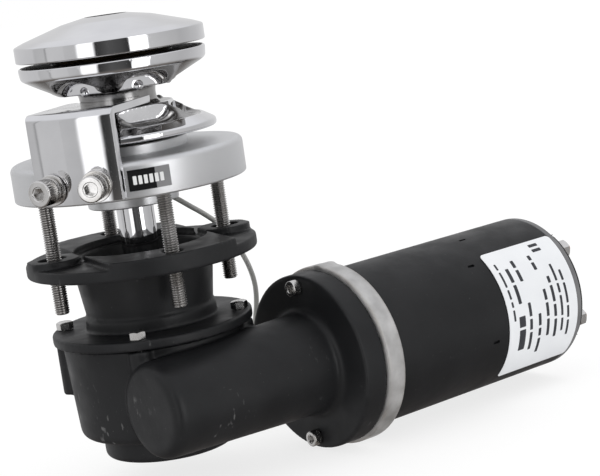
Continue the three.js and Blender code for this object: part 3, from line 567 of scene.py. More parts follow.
def coil_turns(steps=48):
    """Seven turns laid in three layers: each turn moves to the next place in the bundle, and
    later turns move a little earlier in the turn, so that they never touch."""
    places = [(1, 2), (1, 1), (0, 1), (-1, 1), (-1, 0), (0, 0), (1, 0)]
    points = []
    for turn, (column, layer) in enumerate(places):
        following = places[min(turn + 1, len(places) - 1)]
        start = 0.86 - 0.065 * turn
        for step in range(steps):
            part = step / steps
            move = min(1, max(0, (part - start) / 0.12))
            move = move * move * (3 - 2 * move)
            radius = COIL_R + COIL_PITCH * (column + (following[0] - column) * move)
            height = CABLE_R + COIL_PITCH * (layer + (following[1] - layer) * move)
            angle = math.radians(180 + 360 * part)
            x = COIL_X + radius * math.cos(angle)
            y = COIL_Y + radius * math.sin(angle)
            points.append(Vector((x, y, COIL_BOTTOM + height)))
    return points


PLUG_R = 4
PLUG_HALF = 13
PLUG_Y = COIL_Y + COIL_R + COIL_HALF + PLUG_R + GAP
PLUG_PLACE = Vector((COIL_X, PLUG_Y, COIL_BOTTOM + COIL_HALF))


def cable_path():
    """Down to the coil, round it, and out of its lowest layer into the back of the plug."""
    turns = coil_turns()
    bend = [(91, 41.6, -149.4), turns[0] + Vector((0, 1.6, 0.1))]
    down = smooth_path([*ROUTE, *bend, turns[0]])
    middle = Vector((COIL_X, COIL_Y, COIL_BOTTOM + CABLE_R))
    half_turn = [middle + polar(21.2, 180 + 30 * i) for i in range(7)]
    rise = [middle + Vector(step) for step in ((22.4, 9, 0.6), (22.6, 17.5, 1.6), (19.6, 24, 2.6))]
    entry = PLUG_PLACE + Vector((PLUG_HALF + GAP, 0, 0))
    tail = smooth_path([turns[-1], *half_turn, *rise, entry + Vector((2.4, -0.3, 0)), entry])
    return [*down[:-1], *turns, *tail[1:]]


def cable():
    points = cable_path()
    data = bpy.data.curves.new("cable", "CURVE")
    data.dimensions = "3D"
    spline = data.splines.new("POLY")
    spline.points.add(len(points) - 1)
    for point, place in zip(spline.points, points):
        point.co = (*(place * MM), 1)
    data.bevel_depth = CABLE_R * MM
    data.bevel_resolution = 5
    data.use_fill_caps = True
    made = bpy.data.objects.new("sensor_lead", data)
    SCENE.collection.objects.link(made)
    return shown(made, "cable_grey", "housing", ["sensor_cable", "cable_coil"])


def plug():
    """A moulded two-part connector with grip rings, its pins end closed by a collar."""
    profile = [
        (0, -PLUG_HALF), (3.3, -PLUG_HALF), *arc(3.3, -PLUG_HALF + 0.7, 0.7, -90, 0, 4), (4, -1),
        (3.6, -0.6), (3.6, 0.4), (4, 0.8), (4, 3),
    ]
    for i in range(4):
        base = 3.6 + 1.8 * i
        profile += [(3.5, base), (3.5, base + 0.6), (3.9, base + 1), (3.9, base + 1.5)]
    profile += [(2.9, PLUG_HALF - 0.8), (2.2, PLUG_HALF), (0, PLUG_HALF)]
    made = turned("plug_body", profile, 48, moved(PLUG_PLACE) @ ALONG_X)
    return shown(made, "carbon", "housing", ["cable_plug"])


def tie():
    """A nylon tie round the coil and the plug, with its ratchet head on top."""
    near = COIL_Y + COIL_R - COIL_HALF - 2 * GAP
    far = PLUG_PLACE.y + PLUG_R + GAP
    low, high = FLOOR + 1, COIL_BOTTOM + 2 * COIL_HALF + GAP

    def loop(grow, corner):
        left, right, bottom, top = near - grow, far + grow, low - grow, high + grow
        x0, x1, y0, y1 = left + corner, right - corner, bottom + corner, top - corner
        centres = [(x1, y1), (x0, y1), (x0, y0), (x1, y0)]
        starts = enumerate(centres)
        return [p for i, (x, y) in starts for p in arc(x, y, corner, 90 * i, 90 * i + 90, 5)]

    stand = Matrix(((0, 0, 1, COIL_X), (1, 0, 0, 0), (0, 1, 0, 0), (0, 0, 0, 1)))
    band = prism("tie_band", loop(1, 2.4), -2.2, 2.2, stand)
    room = prism("room", loop(0, 1.6), -4, 4, stand)
    combined(band, [room])
    bevelled(band, 0.25, 2)
    return shown(band, "black_rubber", "housing", ["cable_tie"])


cable()
plug()
tie()


# ---- outlines
def rounded(points, steps):
    """An outline with soft corners: a point's third number, if any, is its corner's radius."""
    outline = []
    for i, (x, y, *corner) in enumerate(points):
        here = Vector((x, y))
        if not corner:
            outline.append((x, y))
            continue
        before = Vector(points[i - 1][:2]) - here
        after = Vector(points[(i + 1) % len(points)][:2]) - here
        half = before.angle(after) / 2
        reach = min(corner[0] / math.tan(half), 0.45 * before.length, 0.45 * after.length)
        start = here + before.normalized() * reach
        stop = here + after.normalized() * reach
        for step in range(steps + 1):
            part = step / steps
            outline.append(tuple(start.lerp(here, part).lerp(here.lerp(stop, part), part)))
    return outline


def polygon(corners, radius, phase=0.0):
    turns = [math.radians(phase + 360 * i / corners) for i in range(corners)]
    return [(radius * math.cos(t), radius * math.sin(t)) for t in turns]


def oblong(x0, x1, radius, steps):
    """A slot's outline along x; x0 and x1 are the middles of its round ends."""
    return [*arc(x1, 0, radius, -90, 90, steps), *arc(x0, 0, radius, 90, 270, steps)]


def cylinders(radius, start, stop, places):
    """Cylinders to cut or join with, one along Z at each place."""
    return [tube_ring("cylinder", radius, 0, start, stop, 48, place) for place in places]


def uprights(radius, circle, angles, z0, z1):
    """Vertical cylinders at places round the shaft."""
    return cylinders(radius, z0, z1, [moved(polar(circle, a)) for a in angles])


def radials(radius, angles, z, start, stop):
    """Cylinders along radii of the shaft."""
    height = moved((0, 0, z))
    return cylinders(radius, start, stop, [about_z(a) @ height @ ALONG_X for a in angles])


def round_motor(radius, circle, angles, x0, x1):
    """Cylinders along the motor, at places round its axis."""
    places = [moved(round_worm(circle, a)) @ ALONG_X for a in angles]
    return cylinders(radius, x0, x1, places)


def threaded_rod(name, major, pitch, z0, z1, place):
    """A rod with a V thread whose ends fade into chamfers."""
    columns = 24
    rows = round((z1 - z0) / pitch * 12)
    depth = 0.6 * pitch
    verts = []
    for row in range(rows + 1):
        z = z0 + (z1 - z0) * row / rows
        end = min(z - z0, z1 - z)
        for column in range(columns):
            phase = (z / pitch - column / columns) % 1
            groove = depth * min(1, max(0, 1.3 * abs(2 * phase - 1) - 0.15))
            radius = min(major - groove, major - 0.9 + end)
            turn = 2 * math.pi * column / columns
            verts.append((radius * math.cos(turn), radius * math.sin(turn), z))
    faces = [tuple(range(columns)), tuple(rows * columns + i for i in range(columns))]
    for row in range(rows):
        for i in range(columns):
            j = (i + 1) % columns
            low, high = row * columns, (row + 1) * columns
            faces.append((low + i, low + j, high + j, high + i))
    return new_object(name, verts, faces, place)


# ---- above the deck
def deck_flange():
    edge = 3.3
    profile = [
        (SHAFT_R + GAP, BOSS_BOTTOM), *arc(BOSS_R - 0.8, BOSS_BOTTOM + 0.8, 0.8, -90, 0, 4),
        (BOSS_R, 0), *arc(FLANGE_R - 1, 1, 1, -90, 0, 4),
        *arc(FLANGE_R - edge, FLANGE_H - edge, edge, 0, 90, 10), (HUB_R, FLANGE_H),
        *arc(HUB_R - 0.8, HUB_TOP - 0.8, 0.8, 0, 90, 4), (SHAFT_R + GAP, HUB_TOP),
    ]
    body = turned("deck_flange_skin", profile, 192)
    sensor_circle = 19.5
    holes = [
        *uprights(STUD_R + GAP, STUD_CIRCLE, STUD_ANGLES, -1, STUD_TOP + 1),
        *radials(STUD_R + GAP, STRIPPER_SCREW_ANGLES, STRIPPER_SCREW_Z, 50, FLANGE_R + 2),
        *radials(1.8, [SENSOR_ANGLE], -5, sensor_circle, BOSS_R + 2),
        *uprights(3.3, sensor_circle, [SENSOR_ANGLE], BOSS_BOTTOM - 1, HUB_TOP - 2),
    ]
    shown(combined(body, holes), "anodised_aluminium")


def deck_studs():
    for i, angle in enumerate(STUD_ANGLES):
        place = moved(polar(STUD_CIRCLE, angle)) @ about_z(70 * i)
        stud = threaded_rod(f"deck_stud_{i + 1}_skin", STUD_R, 1.25, STUD_BOTTOM, STUD_TOP, place)
        shown(stud, "stainless_steel", angle=25, look=THREADED)


def chain_stripper():
    """A curved plate against the flange's rim, bent over into a fork that lies in the groove."""
    inner = STRIPPER_OUTER - STRIPPER_THICK
    under = STRIPPER_TOP - STRIPPER_PLATE
    bend, notch = 4.5, NECK_R + 1.4
    section = [
        (inner, 1.5), (STRIPPER_OUTER, 1.5),
        *arc(STRIPPER_OUTER - bend, STRIPPER_TOP - bend, bend, 0, 90, 12), (notch, STRIPPER_TOP),
        (notch, under), *arc(inner - 1, under - 1, 1, 90, 0, 5),
    ]
    turn = about_z(STRIPPER_ANGLE)
    plate = turned("chain_stripper_skin", section, 240, turn)
    tip, corner, half = 10.5, 3, STRIPPER_HALF
    outline = [
        *arc(tip + corner, corner - half, corner, 180, 270, 6),
        *arc(60.4, corner - half, corner, 270, 340, 6), (70, -15), (70, 15),
        *arc(60.4, half - corner, corner, 20, 90, 6),
        *arc(tip + corner, half - corner, corner, 90, 180, 6),
    ]
    combined(plate, [prism("outline", outline, 0, 60, turn)], "INTERSECT")
    combined(plate, radials(STUD_R + GAP, STRIPPER_SCREW_ANGLES, STRIPPER_SCREW_Z, 55, 72))
    bevelled(plate, 0.7, 3, 40)
    shown(plate, "polished_stainless")


def socket_screw(name, shank, length, head, height, socket, place):
    """A cap screw along its own Z, with a knurled head and a hexagonal socket."""
    knurl = 0.05 * head
    soft = 0.12 * head
    profile = [
        (0, -length), (shank - 0.5, -length), (shank, 0.5 - length), (shank, 0), (head - 0.4, 0),
        (head, 0.4, knurl), (head, height - 2.2 * soft, knurl), (head - 0.02, height - 1.6 * soft),
        *arc(head - soft, height - soft, soft, 0, 90, 5), (0.66 * socket, height),
        (0.60 * socket, height - 0.4), (0, height - 0.4),
    ]
    body = turned(name, profile, 72, place)
    hexagon = polygon(6, socket / math.sqrt(3), 12)
    return combined(body, [prism("socket", hexagon, 0.45 * height, height + 1, place)])


def stripper_screws():
    washer_h, lock_h, hole = 1.6, 2, STUD_R + GAP
    for i, angle in enumerate(STRIPPER_SCREW_ANGLES):
        outwards = moved((STRIPPER_OUTER + GAP, 0, STRIPPER_SCREW_Z)) @ ALONG_X
        seat = about_z(angle) @ outwards
        washer = tube_ring(f"stripper_washer_{i + 1}_skin", 8, hole, 0, washer_h, 72, seat, 0.3)
        shown(washer, "stainless_steel")
        place = seat @ moved((0, 0, washer_h + GAP)) @ about_z(60 + 150 * i)
        name = f"stripper_lock_washer_{i + 1}_skin"
        lock = tube_ring(name, 6.7, hole, 0, lock_h, 60, place, 0.2)
        combined(lock, [block("split", (3, 9), (-0.35, 0.35), (-3, 4), place @ about_x(25))])
        shown(lock, "stainless_steel")
        under_head = washer_h + lock_h + 2 * GAP
        place = seat @ moved((0, 0, under_head)) @ about_z(20 + 35 * i)
        screw = socket_screw(f"stripper_screw_{i + 1}_skin", STUD_R, 17, 6.7, 8, 6, place)
        shown(screw, "stainless_steel")


Cone = namedtuple("Cone", "bottom bottom_r top top_r")
LOWER_CONE = Cone(HUB_TOP + 0.5, 29.5, 37.6, 23)
UPPER_CONE = Cone(58.4, 25, 71.4, 31.5)
KEY_W = 5
KEY_OUT = SHAFT_R + 2.2


def pocket_tool(lower, upper, corner, start, angle):
    """An oblong in the plane of the wheel's radius, to be cut from a radius outwards. lower and
    upper are its half length and its reach from the groove's middle in each flange."""
    (x, y), (high, across) = [(reach - corner, half - corner) for half, reach in (lower, upper)]
    outline = [
        *arc(x, y, corner, 0, 90, 10), *arc(-high, across, corner, 90, 180, 10),
        *arc(-high, -across, corner, 180, 270, 10), *arc(x, -y, corner, 270, 360, 10),
    ]
    place = about_z(angle) @ moved((0, 0, GROOVE_Z)) @ ALONG_X
    return prism("pocket", outline, start, 60, place)


def ball(radius, place):
    profile = arc(0, 0, radius, -90, 90, 12)
    profile[0], profile[-1] = (0, -radius), (0, radius)
    return turned("ball", profile, 24, moved(place))


def gypsy():
    """The chain wheel: two coned flanges with pockets for links on edge."""
    rim, bore = GYPSY_R, KEY_OUT + 0.6
    profile = [
        (bore, LOWER_CONE.top + GAP), (LOWER_CONE.top_r + GAP, LOWER_CONE.top + GAP),
        (LOWER_CONE.bottom_r + GAP, GYPSY_BOTTOM), (rim, GYPSY_BOTTOM, 1.2),
        (rim, GYPSY_BOTTOM + 3.4, 1.6), (42.9, 34.3, 0.5), (42.2, 33.4, 0.5), (29, 42.9, 2.5),
        (NECK_R + 0.4, 43.6, 2.2), (NECK_R, 48, 4), (NECK_R + 0.6, 52.5, 2.4), (31.4, 52.2, 1.5),
        (rim - 0.9, 63, 2), (rim - 0.2, GYPSY_TOP, 1.2), (UPPER_CONE.top_r + GAP, GYPSY_TOP, 0.8),
        (UPPER_CONE.bottom_r + GAP, UPPER_CONE.bottom - GAP), (bore, UPPER_CONE.bottom - GAP),
    ]
    wheel = turned("gypsy_skin", rounded(profile, 6), 192)
    pockets = []
    for angle in POCKET_ANGLES:
        pockets.append(pocket_tool((15.2, 13.2), (12.4, 11.2), 9.2, 28, angle))
        pockets.append(pocket_tool((19.2, 14.5), (16, 12.8), 12, 33, angle))
    combined(wheel, pockets)
    nubs = [ball(2.4, polar(27.6, a, 53.4)) for a in POCKET_ANGLES]
    nubs += [ball(2.4, polar(23.5, a + 30, 42.8)) for a in POCKET_ANGLES]
    combined(wheel, nubs, "UNION")
    magnet_hole = (GYPSY_BOTTOM - 1, GYPSY_BOTTOM + 3 + GAP)
    combined(wheel, uprights(3 + GAP, 36, [SENSOR_ANGLE], *magnet_hole))
    cast(wheel, 0.4, 26)
    shown(wheel, "polished_stainless", "chain_wheel", angle=60, look=CHAIN_WHEEL)
    # Painted shade: the wheel's top face under the cap is coloured near black, as the shade in the
    # gap between them.
    top, edge = (GYPSY_TOP - 0.4) * MM, 48.4 * MM
    paint_shade_on(wheel, PAINTED_SHADE, lambda c, n: n.z > 0.9 and c.z > top and c.xy.length < edge)


def clutch_cap():
    recess = 87.6
    thread = THREAD_R + GAP
    profile = [
        (thread, CAP_BOTTOM), (CAP_R, CAP_BOTTOM, 1), (CAP_R, 80.3, 1.5), (45, 82.4, 6),
        (24, 88.8, 14), (11, 91.2, 0.3), (11, recess), (6, recess), (6, SHAFT_TOP + 0.6),
        (thread, SHAFT_TOP + 0.6),
    ]
    cap = turned("clutch_cap_skin", rounded(profile, 8), 192)
    combined(cap, [prism("hexagon", polygon(6, 7.5), SHAFT_TOP, recess + 1)])
    shown(cap, "polished_stainless", "cap", angle=40)
    # Painted shade: the cap's downward faces over the wheel and its socket at the top are coloured
    # near black, as the shade in the gap and in the recess.
    socket_r, socket_z = 11.2 * MM, 85 * MM
    paint_shade_on(cap, PAINTED_SHADE, lambda c, n: n.z < -0.9 or (c.xy.length < socket_r and c.z > socket_z))


def clutch_cone(name, body, cone):
    bore, half = SHAFT_R + GAP, KEY_W / 2 + GAP
    foot = [(bore, cone.bottom), (cone.bottom_r, cone.bottom, 0.5)]
    head = [(cone.top_r, cone.top, 0.5), (bore, cone.top)]
    made = turned(f"{name}_skin", rounded(foot + head, 3), 128)
    depth, height = (SHAFT_R - 2, KEY_OUT + GAP), (cone.bottom - 1, cone.top + 1)
    combined(made, [block("keyway", depth, (-half, half), height)])
    shown(made, "bronze", body, look=GREASED)


def drive_shaft():
    foot, shoulder, thread_start = -138, -125, 71.6
    profile = [
        (0, foot), (8, foot), (8.5, foot + 0.5), (8.5, shoulder), (SHAFT_R, shoulder),
        (SHAFT_R, thread_start), (THREAD_R, thread_start), (THREAD_R, SHAFT_TOP - 1),
        (THREAD_R - 1, SHAFT_TOP), (0, SHAFT_TOP),
    ]
    shaft = turned("drive_shaft_skin", profile, 128)
    half = KEY_W / 2 + GAP
    depth, width = (SHAFT_R - 2.5 - GAP, SHAFT_R + 2), (-half, half)
    spans = [(LOWER_CONE.bottom + 1, UPPER_CONE.top - 3), (WORM_Z - 7, WORM_Z + 7)]
    keyways = [block("keyway", depth, width, (low - GAP, high + GAP)) for low, high in spans]
    shown(combined(shaft, keyways), "polished_stainless", "drive")


deck_flange()
deck_studs()
chain_stripper()
stripper_screws()
gypsy()
clutch_cap()
clutch_cone("lower_clutch_cone", "drive", LOWER_CONE)
clutch_cone("upper_clutch_cone", "upper_cone", UPPER_CONE)
drive_shaft()


# ---- gearbox
def upper_housing():
    """The casting between the deck and the gear case: a flange with four slotted seats, a
    funnel round the shaft, and a flange bolted to the case."""
    collar_top, flange_top = -67, JOINT_Z + JOINT_THICK
    profile = [
        (32, UNDER_TOP, 0.8), (UNDER_R, UNDER_TOP, 0.8), (UNDER_R, UNDER_BOTTOM, 0.8),
        (37.8, UNDER_BOTTOM, 1.5), (34.4, collar_top + 0.8), (35.6, collar_top, 0.6),
        (35.6, flange_top, 0.8), (JOINT_R, flange_top, 1), (JOINT_R, JOINT_Z), (30, JOINT_Z),
        (30, BEARING_BOTTOM), (BEARING_R + GAP, BEARING_BOTTOM),
        (BEARING_R + GAP, BEARING_TOP + GAP), (SEAL_R + GAP, BEARING_TOP + GAP),
        (SEAL_R + GAP, SEAL_TOP + GAP), (28.5, SEAL_TOP + GAP, 1.5),
    ]
    casting = turned("upper_housing_skin", rounded(profile, 4), 128)
    rim = tube_ring("rim", UNDER_R, 36, UNDER_TOP - 2, PAD_TOP, 128)
    span = (UNDER_TOP - 1, PAD_TOP + 1)
    seats = uprights(14.5, STUD_CIRCLE, STUD_ANGLES, *span)
    long_pad = block("long_pad", (-35, 35), (-70, 70), span, about_z(STUD_ANGLES[0]))
    combined(rim, [combined(long_pad, seats, "UNION")], "INTERSECT")
    combined(casting, [rim], "UNION")
    slot = oblong(46.8, 52.2, 5, 12)
    holes = [prism("slot", slot, UNDER_BOTTOM - 3, PAD_TOP + 2, about_z(a)) for a in STUD_ANGLES]
    span = (JOINT_Z - 1, flange_top + 1)
    holes += uprights(BOLT_HOLE_R, CASE_BOLT_CIRCLE, CASE_BOLT_ANGLES, *span)
    combined(casting, holes)
    cast(casting, 0.75, 6)
    shown(casting, "black_paint", angle=70)


def gear_case():
    """The bowl round the worm wheel, the tube round the worm, and the motor's flange."""
    profile = [
        (0, CASE_BOTTOM), (35.5, CASE_BOTTOM, 3), (35.5, -131.4, 1.2), (46.6, -131.2, 8),
        (CASE_R, CASE_TOP), (0, CASE_TOP),
    ]
    bowl = turned("gear_case_skin", rounded(profile, 8), 160)
    profile = [
        (0, TUBE_END), (TUBE_R_END, TUBE_END, 6.5), (TUBE_R_FLANGE, MOTOR_FLANGE_X, 4.5),
        (MOTOR_FLANGE_R, MOTOR_FLANGE_X, 1.2), (MOTOR_FLANGE_R, RING_X), (0, RING_X),
    ]
    tube = turned("tube", rounded(profile, 8), 160, WORM_AXIS)
    columns = uprights(6.2, CASE_BOLT_CIRCLE, CASE_BOLT_ANGLES, COLUMN_BOTTOM, CASE_TOP)
    combined(bowl, [tube, *columns], "UNION")
    seat = 17 + GAP
    profile = [
        (0, -138.6), (seat, -138.6), (seat, -126 + GAP), (41, -124), (42.5, -122),
        (42.5, CASE_TOP + 1), (0, CASE_TOP + 1),
    ]
    room = turned("room", profile, 96)
    profile = [
        (0, -36), (15 + GAP, -36), (15 + GAP, -26), (17, -26), (17, 60), (24, 62), (24, RING_X + 1),
        (0, RING_X + 1),
    ]
    worm_bore = turned("worm_bore", profile, 96, WORM_AXIS)
    holes = uprights(BOLT_HOLE_R, CASE_BOLT_CIRCLE, CASE_BOLT_ANGLES, -100, CASE_TOP + 1)
    span = (MOTOR_FLANGE_X - 2, RING_X + 1)
    holes += round_motor(BOLT_HOLE_R, MOTOR_SCREW_CIRCLE, MOTOR_SCREW_ANGLES, *span)
    combined(bowl, [room, worm_bore, *holes])
    cast(bowl, 0.85, 7)
    shown(bowl, "black_paint", angle=70)


def hex_bolt(name, shank, length, flats, height, place):
    """A hexagon bolt along its own Z, its head chamfered at the top."""
    corner = flats / math.sqrt(3)
    head = prism(name, polygon(6, corner), 0, height, place)
    side = [(corner + 1, -1), (corner + 1, height - 1.1), (corner - 0.9, height)]
    dome = [(0, -1), *side, (0, height)]
    combined(head, [turned("dome", dome, 60, place)], "INTERSECT")
    stem = tube_ring("stem", shank, 0, -length, 0.5, 32, place)
    return combined(head, [stem], "UNION")


def case_fasteners():
    for i, angle in enumerate(CASE_BOLT_ANGLES):
        seat = moved(polar(CASE_BOLT_CIRCLE, angle, JOINT_Z + JOINT_THICK + GAP))
        bolt = hex_bolt(f"case_bolt_{i + 1}_skin", 2.5, 16, 8, 4, seat @ about_z(angle + 12))
        shown(bolt, "stainless_steel")
    gasket = tube_ring("case_gasket_skin", CASE_R, 42.5, CASE_TOP + 0.1, JOINT_Z - 0.1, 128)
    span = (CASE_TOP - 2, JOINT_Z + 2)
    combined(gasket, uprights(BOLT_HOLE_R, CASE_BOLT_CIRCLE, CASE_BOLT_ANGLES, *span))
    shown(gasket, "black_rubber")
    profile = [
        (SHAFT_R + GAP, -61), (SEAL_R, -61), (SEAL_R, -55.2), (SEAL_R - 0.2, SEAL_TOP),
        (13.4, SEAL_TOP), (12.6, -56.4), (11.4, -55.2), (SHAFT_R + GAP, -55.6),
    ]
    shown(turned("oil_seal_skin", profile, 96), "black_rubber")


upper_housing()
gear_case()
case_fasteners()


# ---- motor
def front_bell():
    start, stop, seat = RING_X + GAP, MOTOR_X - GAP, MOTOR_BEARING_R + GAP
    profile = [
        (10, start), (RING_R, start, 1.4), (RING_R, stop, 1.4), (seat, stop), (seat, 80 - GAP),
        (10, 80 - GAP),
    ]
    bell = turned("motor_front_bell_skin", rounded(profile, 5), 192, WORM_AXIS)
    screws = (MOTOR_SCREW_CIRCLE, MOTOR_SCREW_ANGLES)
    combined(bell, round_motor(8.8, *screws, start, stop), "UNION")
    combined(bell, round_motor(BOLT_HOLE_R, *screws, start - 1, 86))
    cast(bell, 0.7, 6)
    shown(bell, "cast_alloy", angle=70)


def motor_tube():
    """A painted steel tube, with a rolled lip at each end and three staking marks."""
    end = CAP_X - GAP
    wall = MOTOR_R - 3
    profile = [(wall, MOTOR_X), (MOTOR_R, MOTOR_X, 0.6), (MOTOR_R, end, 0.6), (wall, end)]
    tube = turned("motor_tube_skin", rounded(profile, 4), 224, WORM_AXIS)
    marks = []
    for x, angle in ((178, 103), (163, 133), (163, 193)):
        place = moved(round_worm(MOTOR_R, angle, x)) @ about_x(angle - 90)
        marks.append(prism("mark", oblong(-1.7, 1.7, 0.85, 8), -1.4, 2, place))
    combined(tube, marks)
    shown(tube, "black_tube")


def end_cap():
    seat, inner = 13 + GAP, MOTOR_R - 3 - GAP
    profile = [
        (seat, 217), (18, 217), (18, 227), (inner - 3, 227), (inner, 228), (inner, CAP_X),
        (MOTOR_R, CAP_X, 0.4), (MOTOR_R, MOTOR_END, 1.2), (5, MOTOR_END), (5, 229.7), (seat, 229.7),
    ]
    cap = turned("motor_end_cap_skin", rounded(profile, 5), 160, WORM_AXIS)
    holes = round_motor(4 + GAP, TERMINAL_CIRCLE, TERMINAL_ANGLES, 220, MOTOR_END + 1)
    shown(combined(cap, holes), "cast_alloy", look=ZINC)


def wrapped(name, place, outer, inner, along, turn, corner, steps):
    """A thin plate that follows a cylinder: place(radius, degrees, height) is its cylinder."""
    (low, high), (start, stop) = along, turn
    reach = math.degrees(corner / outer)
    angles = [start + (stop - start) * i / steps for i in range(steps + 1)]
    if corner:
        near = [reach * (1 - math.cos(math.radians(15 * i))) for i in range(1, 6)]
        angles = sorted({*angles, *(start + a for a in near), *(stop - a for a in near)})
    verts = []
    for angle in angles:
        inset = 0.0
        depth = min(angle - start, stop - angle)
        if corner and depth < reach:
            inset = corner - math.sqrt(corner**2 - (corner * (1 - depth / reach)) ** 2)
        near_end, far_end = low + inset, high - inset
        corners = [(inner, near_end), (inner, far_end), (outer, far_end), (outer, near_end)]
        verts += [place(radius, angle, end) for radius, end in corners]
    faces = [(0, 1, 2, 3), tuple(len(verts) - 4 + i for i in range(4))]
    for i in range(len(angles) - 1):
        for side in range(4):
            j = (side + 1) % 4
            faces.append((4 * i + side, 4 * i + j, 4 * i + 4 + j, 4 * i + 4 + side))
    return new_object(name, verts, faces)


def printed(piece, marks, ink):
    """Joins thin printed marks to a plate, in their own material."""
    piece.data.materials.append(ink)
    for mark in marks:
        work = bmesh.new()
        work.from_mesh(piece.data)
        first = len(work.faces)
        work.from_mesh(mark.data)
        work.faces.ensure_lookup_table()
        for face in work.faces[first:]:
            face.material_index = len(piece.data.materials) - 1
            face.smooth = False
        work.to_mesh(piece.data)
        work.free()
        bpy.data.objects.remove(mark)


def terminals():
    along = (MOTOR_END + GAP, 236.4)
    turn = (TERMINAL_ANGLES[0] - 12, TERMINAL_ANGLES[1] + 12)
    board = wrapped("terminal_board_skin", round_worm, 43, 31, along, turn, 3, 40)
    combined(board, round_motor(4, TERMINAL_CIRCLE, TERMINAL_ANGLES, 224, 236), "UNION")
    combined(board, round_motor(3 + GAP, TERMINAL_CIRCLE, TERMINAL_ANGLES, 223, 237))
    bevelled(board, 0.3, 2)
    shown(board, "black_rubber")
    for i, angle in enumerate(TERMINAL_ANGLES):
        place = moved(round_worm(TERMINAL_CIRCLE, angle)) @ ALONG_X
        stud = threaded_rod(f"terminal_stud_{i + 1}_skin", 3, 1, 216, 245.4, place)
        shown(stud, "copper", angle=60)
        nut = prism(f"terminal_nut_{i + 1}_skin", polygon(6, 5.77, 10), 237, 242.2, place)
        side = [(4.9, 236), (4.9, 237), (6.2, 238.2), (6.2, 241), (4.9, 242.2)]
        chamfer = turned("chamfer", [(0, 236), *side, (0, 242.2)], 60, place)
        combined(nut, [chamfer], "INTERSECT")
        combined(nut, [tube_ring("bore", 3 + GAP, 0, 236, 243, 40, place)])
        shown(nut, "stainless_steel")


def flange_screws():
    for i, side in enumerate((1, -1)):
        spot = (MOTOR_FLANGE_X - GAP, -CENTRES, WORM_Z + side * MOTOR_SCREW_CIRCLE)
        place = moved(spot) @ Matrix.Rotation(math.radians(-90), 4, "Y")
        screw = socket_screw(f"motor_flange_screw_{i + 1}_skin", 2.5, 20, 4.25, 5, 4, place)
        shown(screw, "stainless_steel")


LABEL_ROWS = [  # along the motor, height of the row, first angle, lengths of its words in degrees
    (177.0, 1.5, 138, (5, 12, 7, 4, 8)),
    (182.6, 2.5, 144, (11, 14)),
    (181.0, 5.0, 180, (8, 16)),
    (189.4, 2.4, 139, (6, 9)),
    (189.4, 2.2, 172, (10, 8, 14)),
    (196.6, 2.2, 182, (9, 6, 12)),
    (203.4, 2.4, 139, (4, 6)),
    (203.4, 2.2, 166, (8, 10, 13)),
    (209.6, 2.2, 158, (5, 12, 9, 14)),
    (215.4, 1.8, 150, (13, 7, 15, 10)),
    (220.4, 1.8, 156, (8, 15, 9, 12)),
    (210.0, 7.0, 130.5, (2.6, 2.6)),
]


def label():
    """A plain white label; dark bars stand where such a label has its lines of print."""
    face, back, top = MOTOR_R + 0.6, MOTOR_R + GAP, MOTOR_R + 0.66
    along, turn = (173, 229.5), (127, 229)
    plate = wrapped("motor_label_skin", round_worm, face, back, along, turn, 2.5, 60)
    bars = []
    for x, height, angle, words in LABEL_ROWS:
        for length in words:
            along, turn = (x, x + height), (angle, angle + length)
            steps = max(2, round(length / 3))
            bars.append(wrapped("bar", round_worm, top, top - 0.2, along, turn, 0.4, steps))
            angle += length + 2
    shown(plate, "label_film")
    printed(plate, bars, PRINT_INK)


def tag():
    """A small plate on the flange's rim, black and grey, with a plain row of bars."""
    height = (4.2, 14.8)
    start, middle, stop = 235.8, 248.6, 255.7
    outer, inner = FLANGE_R + 0.62, FLANGE_R + GAP
    plate = wrapped("flange_tag_skin", polar, outer, inner, height, (start, middle), 0, 12)
    grey = wrapped("grey", polar, outer, inner, height, (middle, stop), 0, 8)
    bars = []
    for i in range(6):
        angle = 238 + 2.55 * i
        turn = (angle, angle + 1.7)
        bars.append(wrapped("bar", polar, outer + 0.06, outer - 0.1, (7.3, 11.7), turn, 0.3, 2))
    shown(plate, "carbon", look=TAG_BLACK)
    printed(plate, [grey], TAG_GREY)
    printed(plate, bars, TAG_MARK)


def cable_gland():
    """A ribbed rubber sleeve where the sensor's lead leaves the boss."""
    profile = [
        (0, 0), (3.2, 0), (3.2, 0.5), (3, 0.7), (3, 1.0), (3.1, 1.2), (3.1, 1.5), (2.4, 2.4),
        (2.2, 3), (0, 3),
    ]
    foot = moved(polar(BOSS_R + GAP, SENSOR_ANGLE, CABLE_Z))
    place = foot @ about_z(SENSOR_ANGLE) @ ALONG_X
    shown(turned("cable_gland_skin", profile, 48, place), "black_rubber")


front_bell()
motor_tube()
end_cap()
terminals()
flange_screws()
label()
tag()
cable_gland()


# ---- CAD pieces that stay: those hidden inside others
HIDDEN = {
    "bronze": ["worm_wheel", "brush_plate"],
    "stainless_steel": [
        "clutch_key", "wheel_key", "upper_bearing", "lower_bearing", "worm_shaft",
        "worm_bearing_far", "motor_front_bearing", "motor_rear_bearing", "chain_sensor",
    ],
    "copper": ["armature_core", "commutator"],
    "ferrite": ["sensor_magnet", "field_magnet_1", "field_magnet_2"],
    "carbon": ["motor_brush_1", "motor_brush_2"],
}
for slot_name, nodes in HIDDEN.items():
    for node in nodes:
        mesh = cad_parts[node].data
        mesh.materials.clear()
        mesh.materials.append(LOOKS[slot_name])


# ---- studio
BRIGHTEST = 2.5  # radiance of a full-scale stop in the ring of softboxes


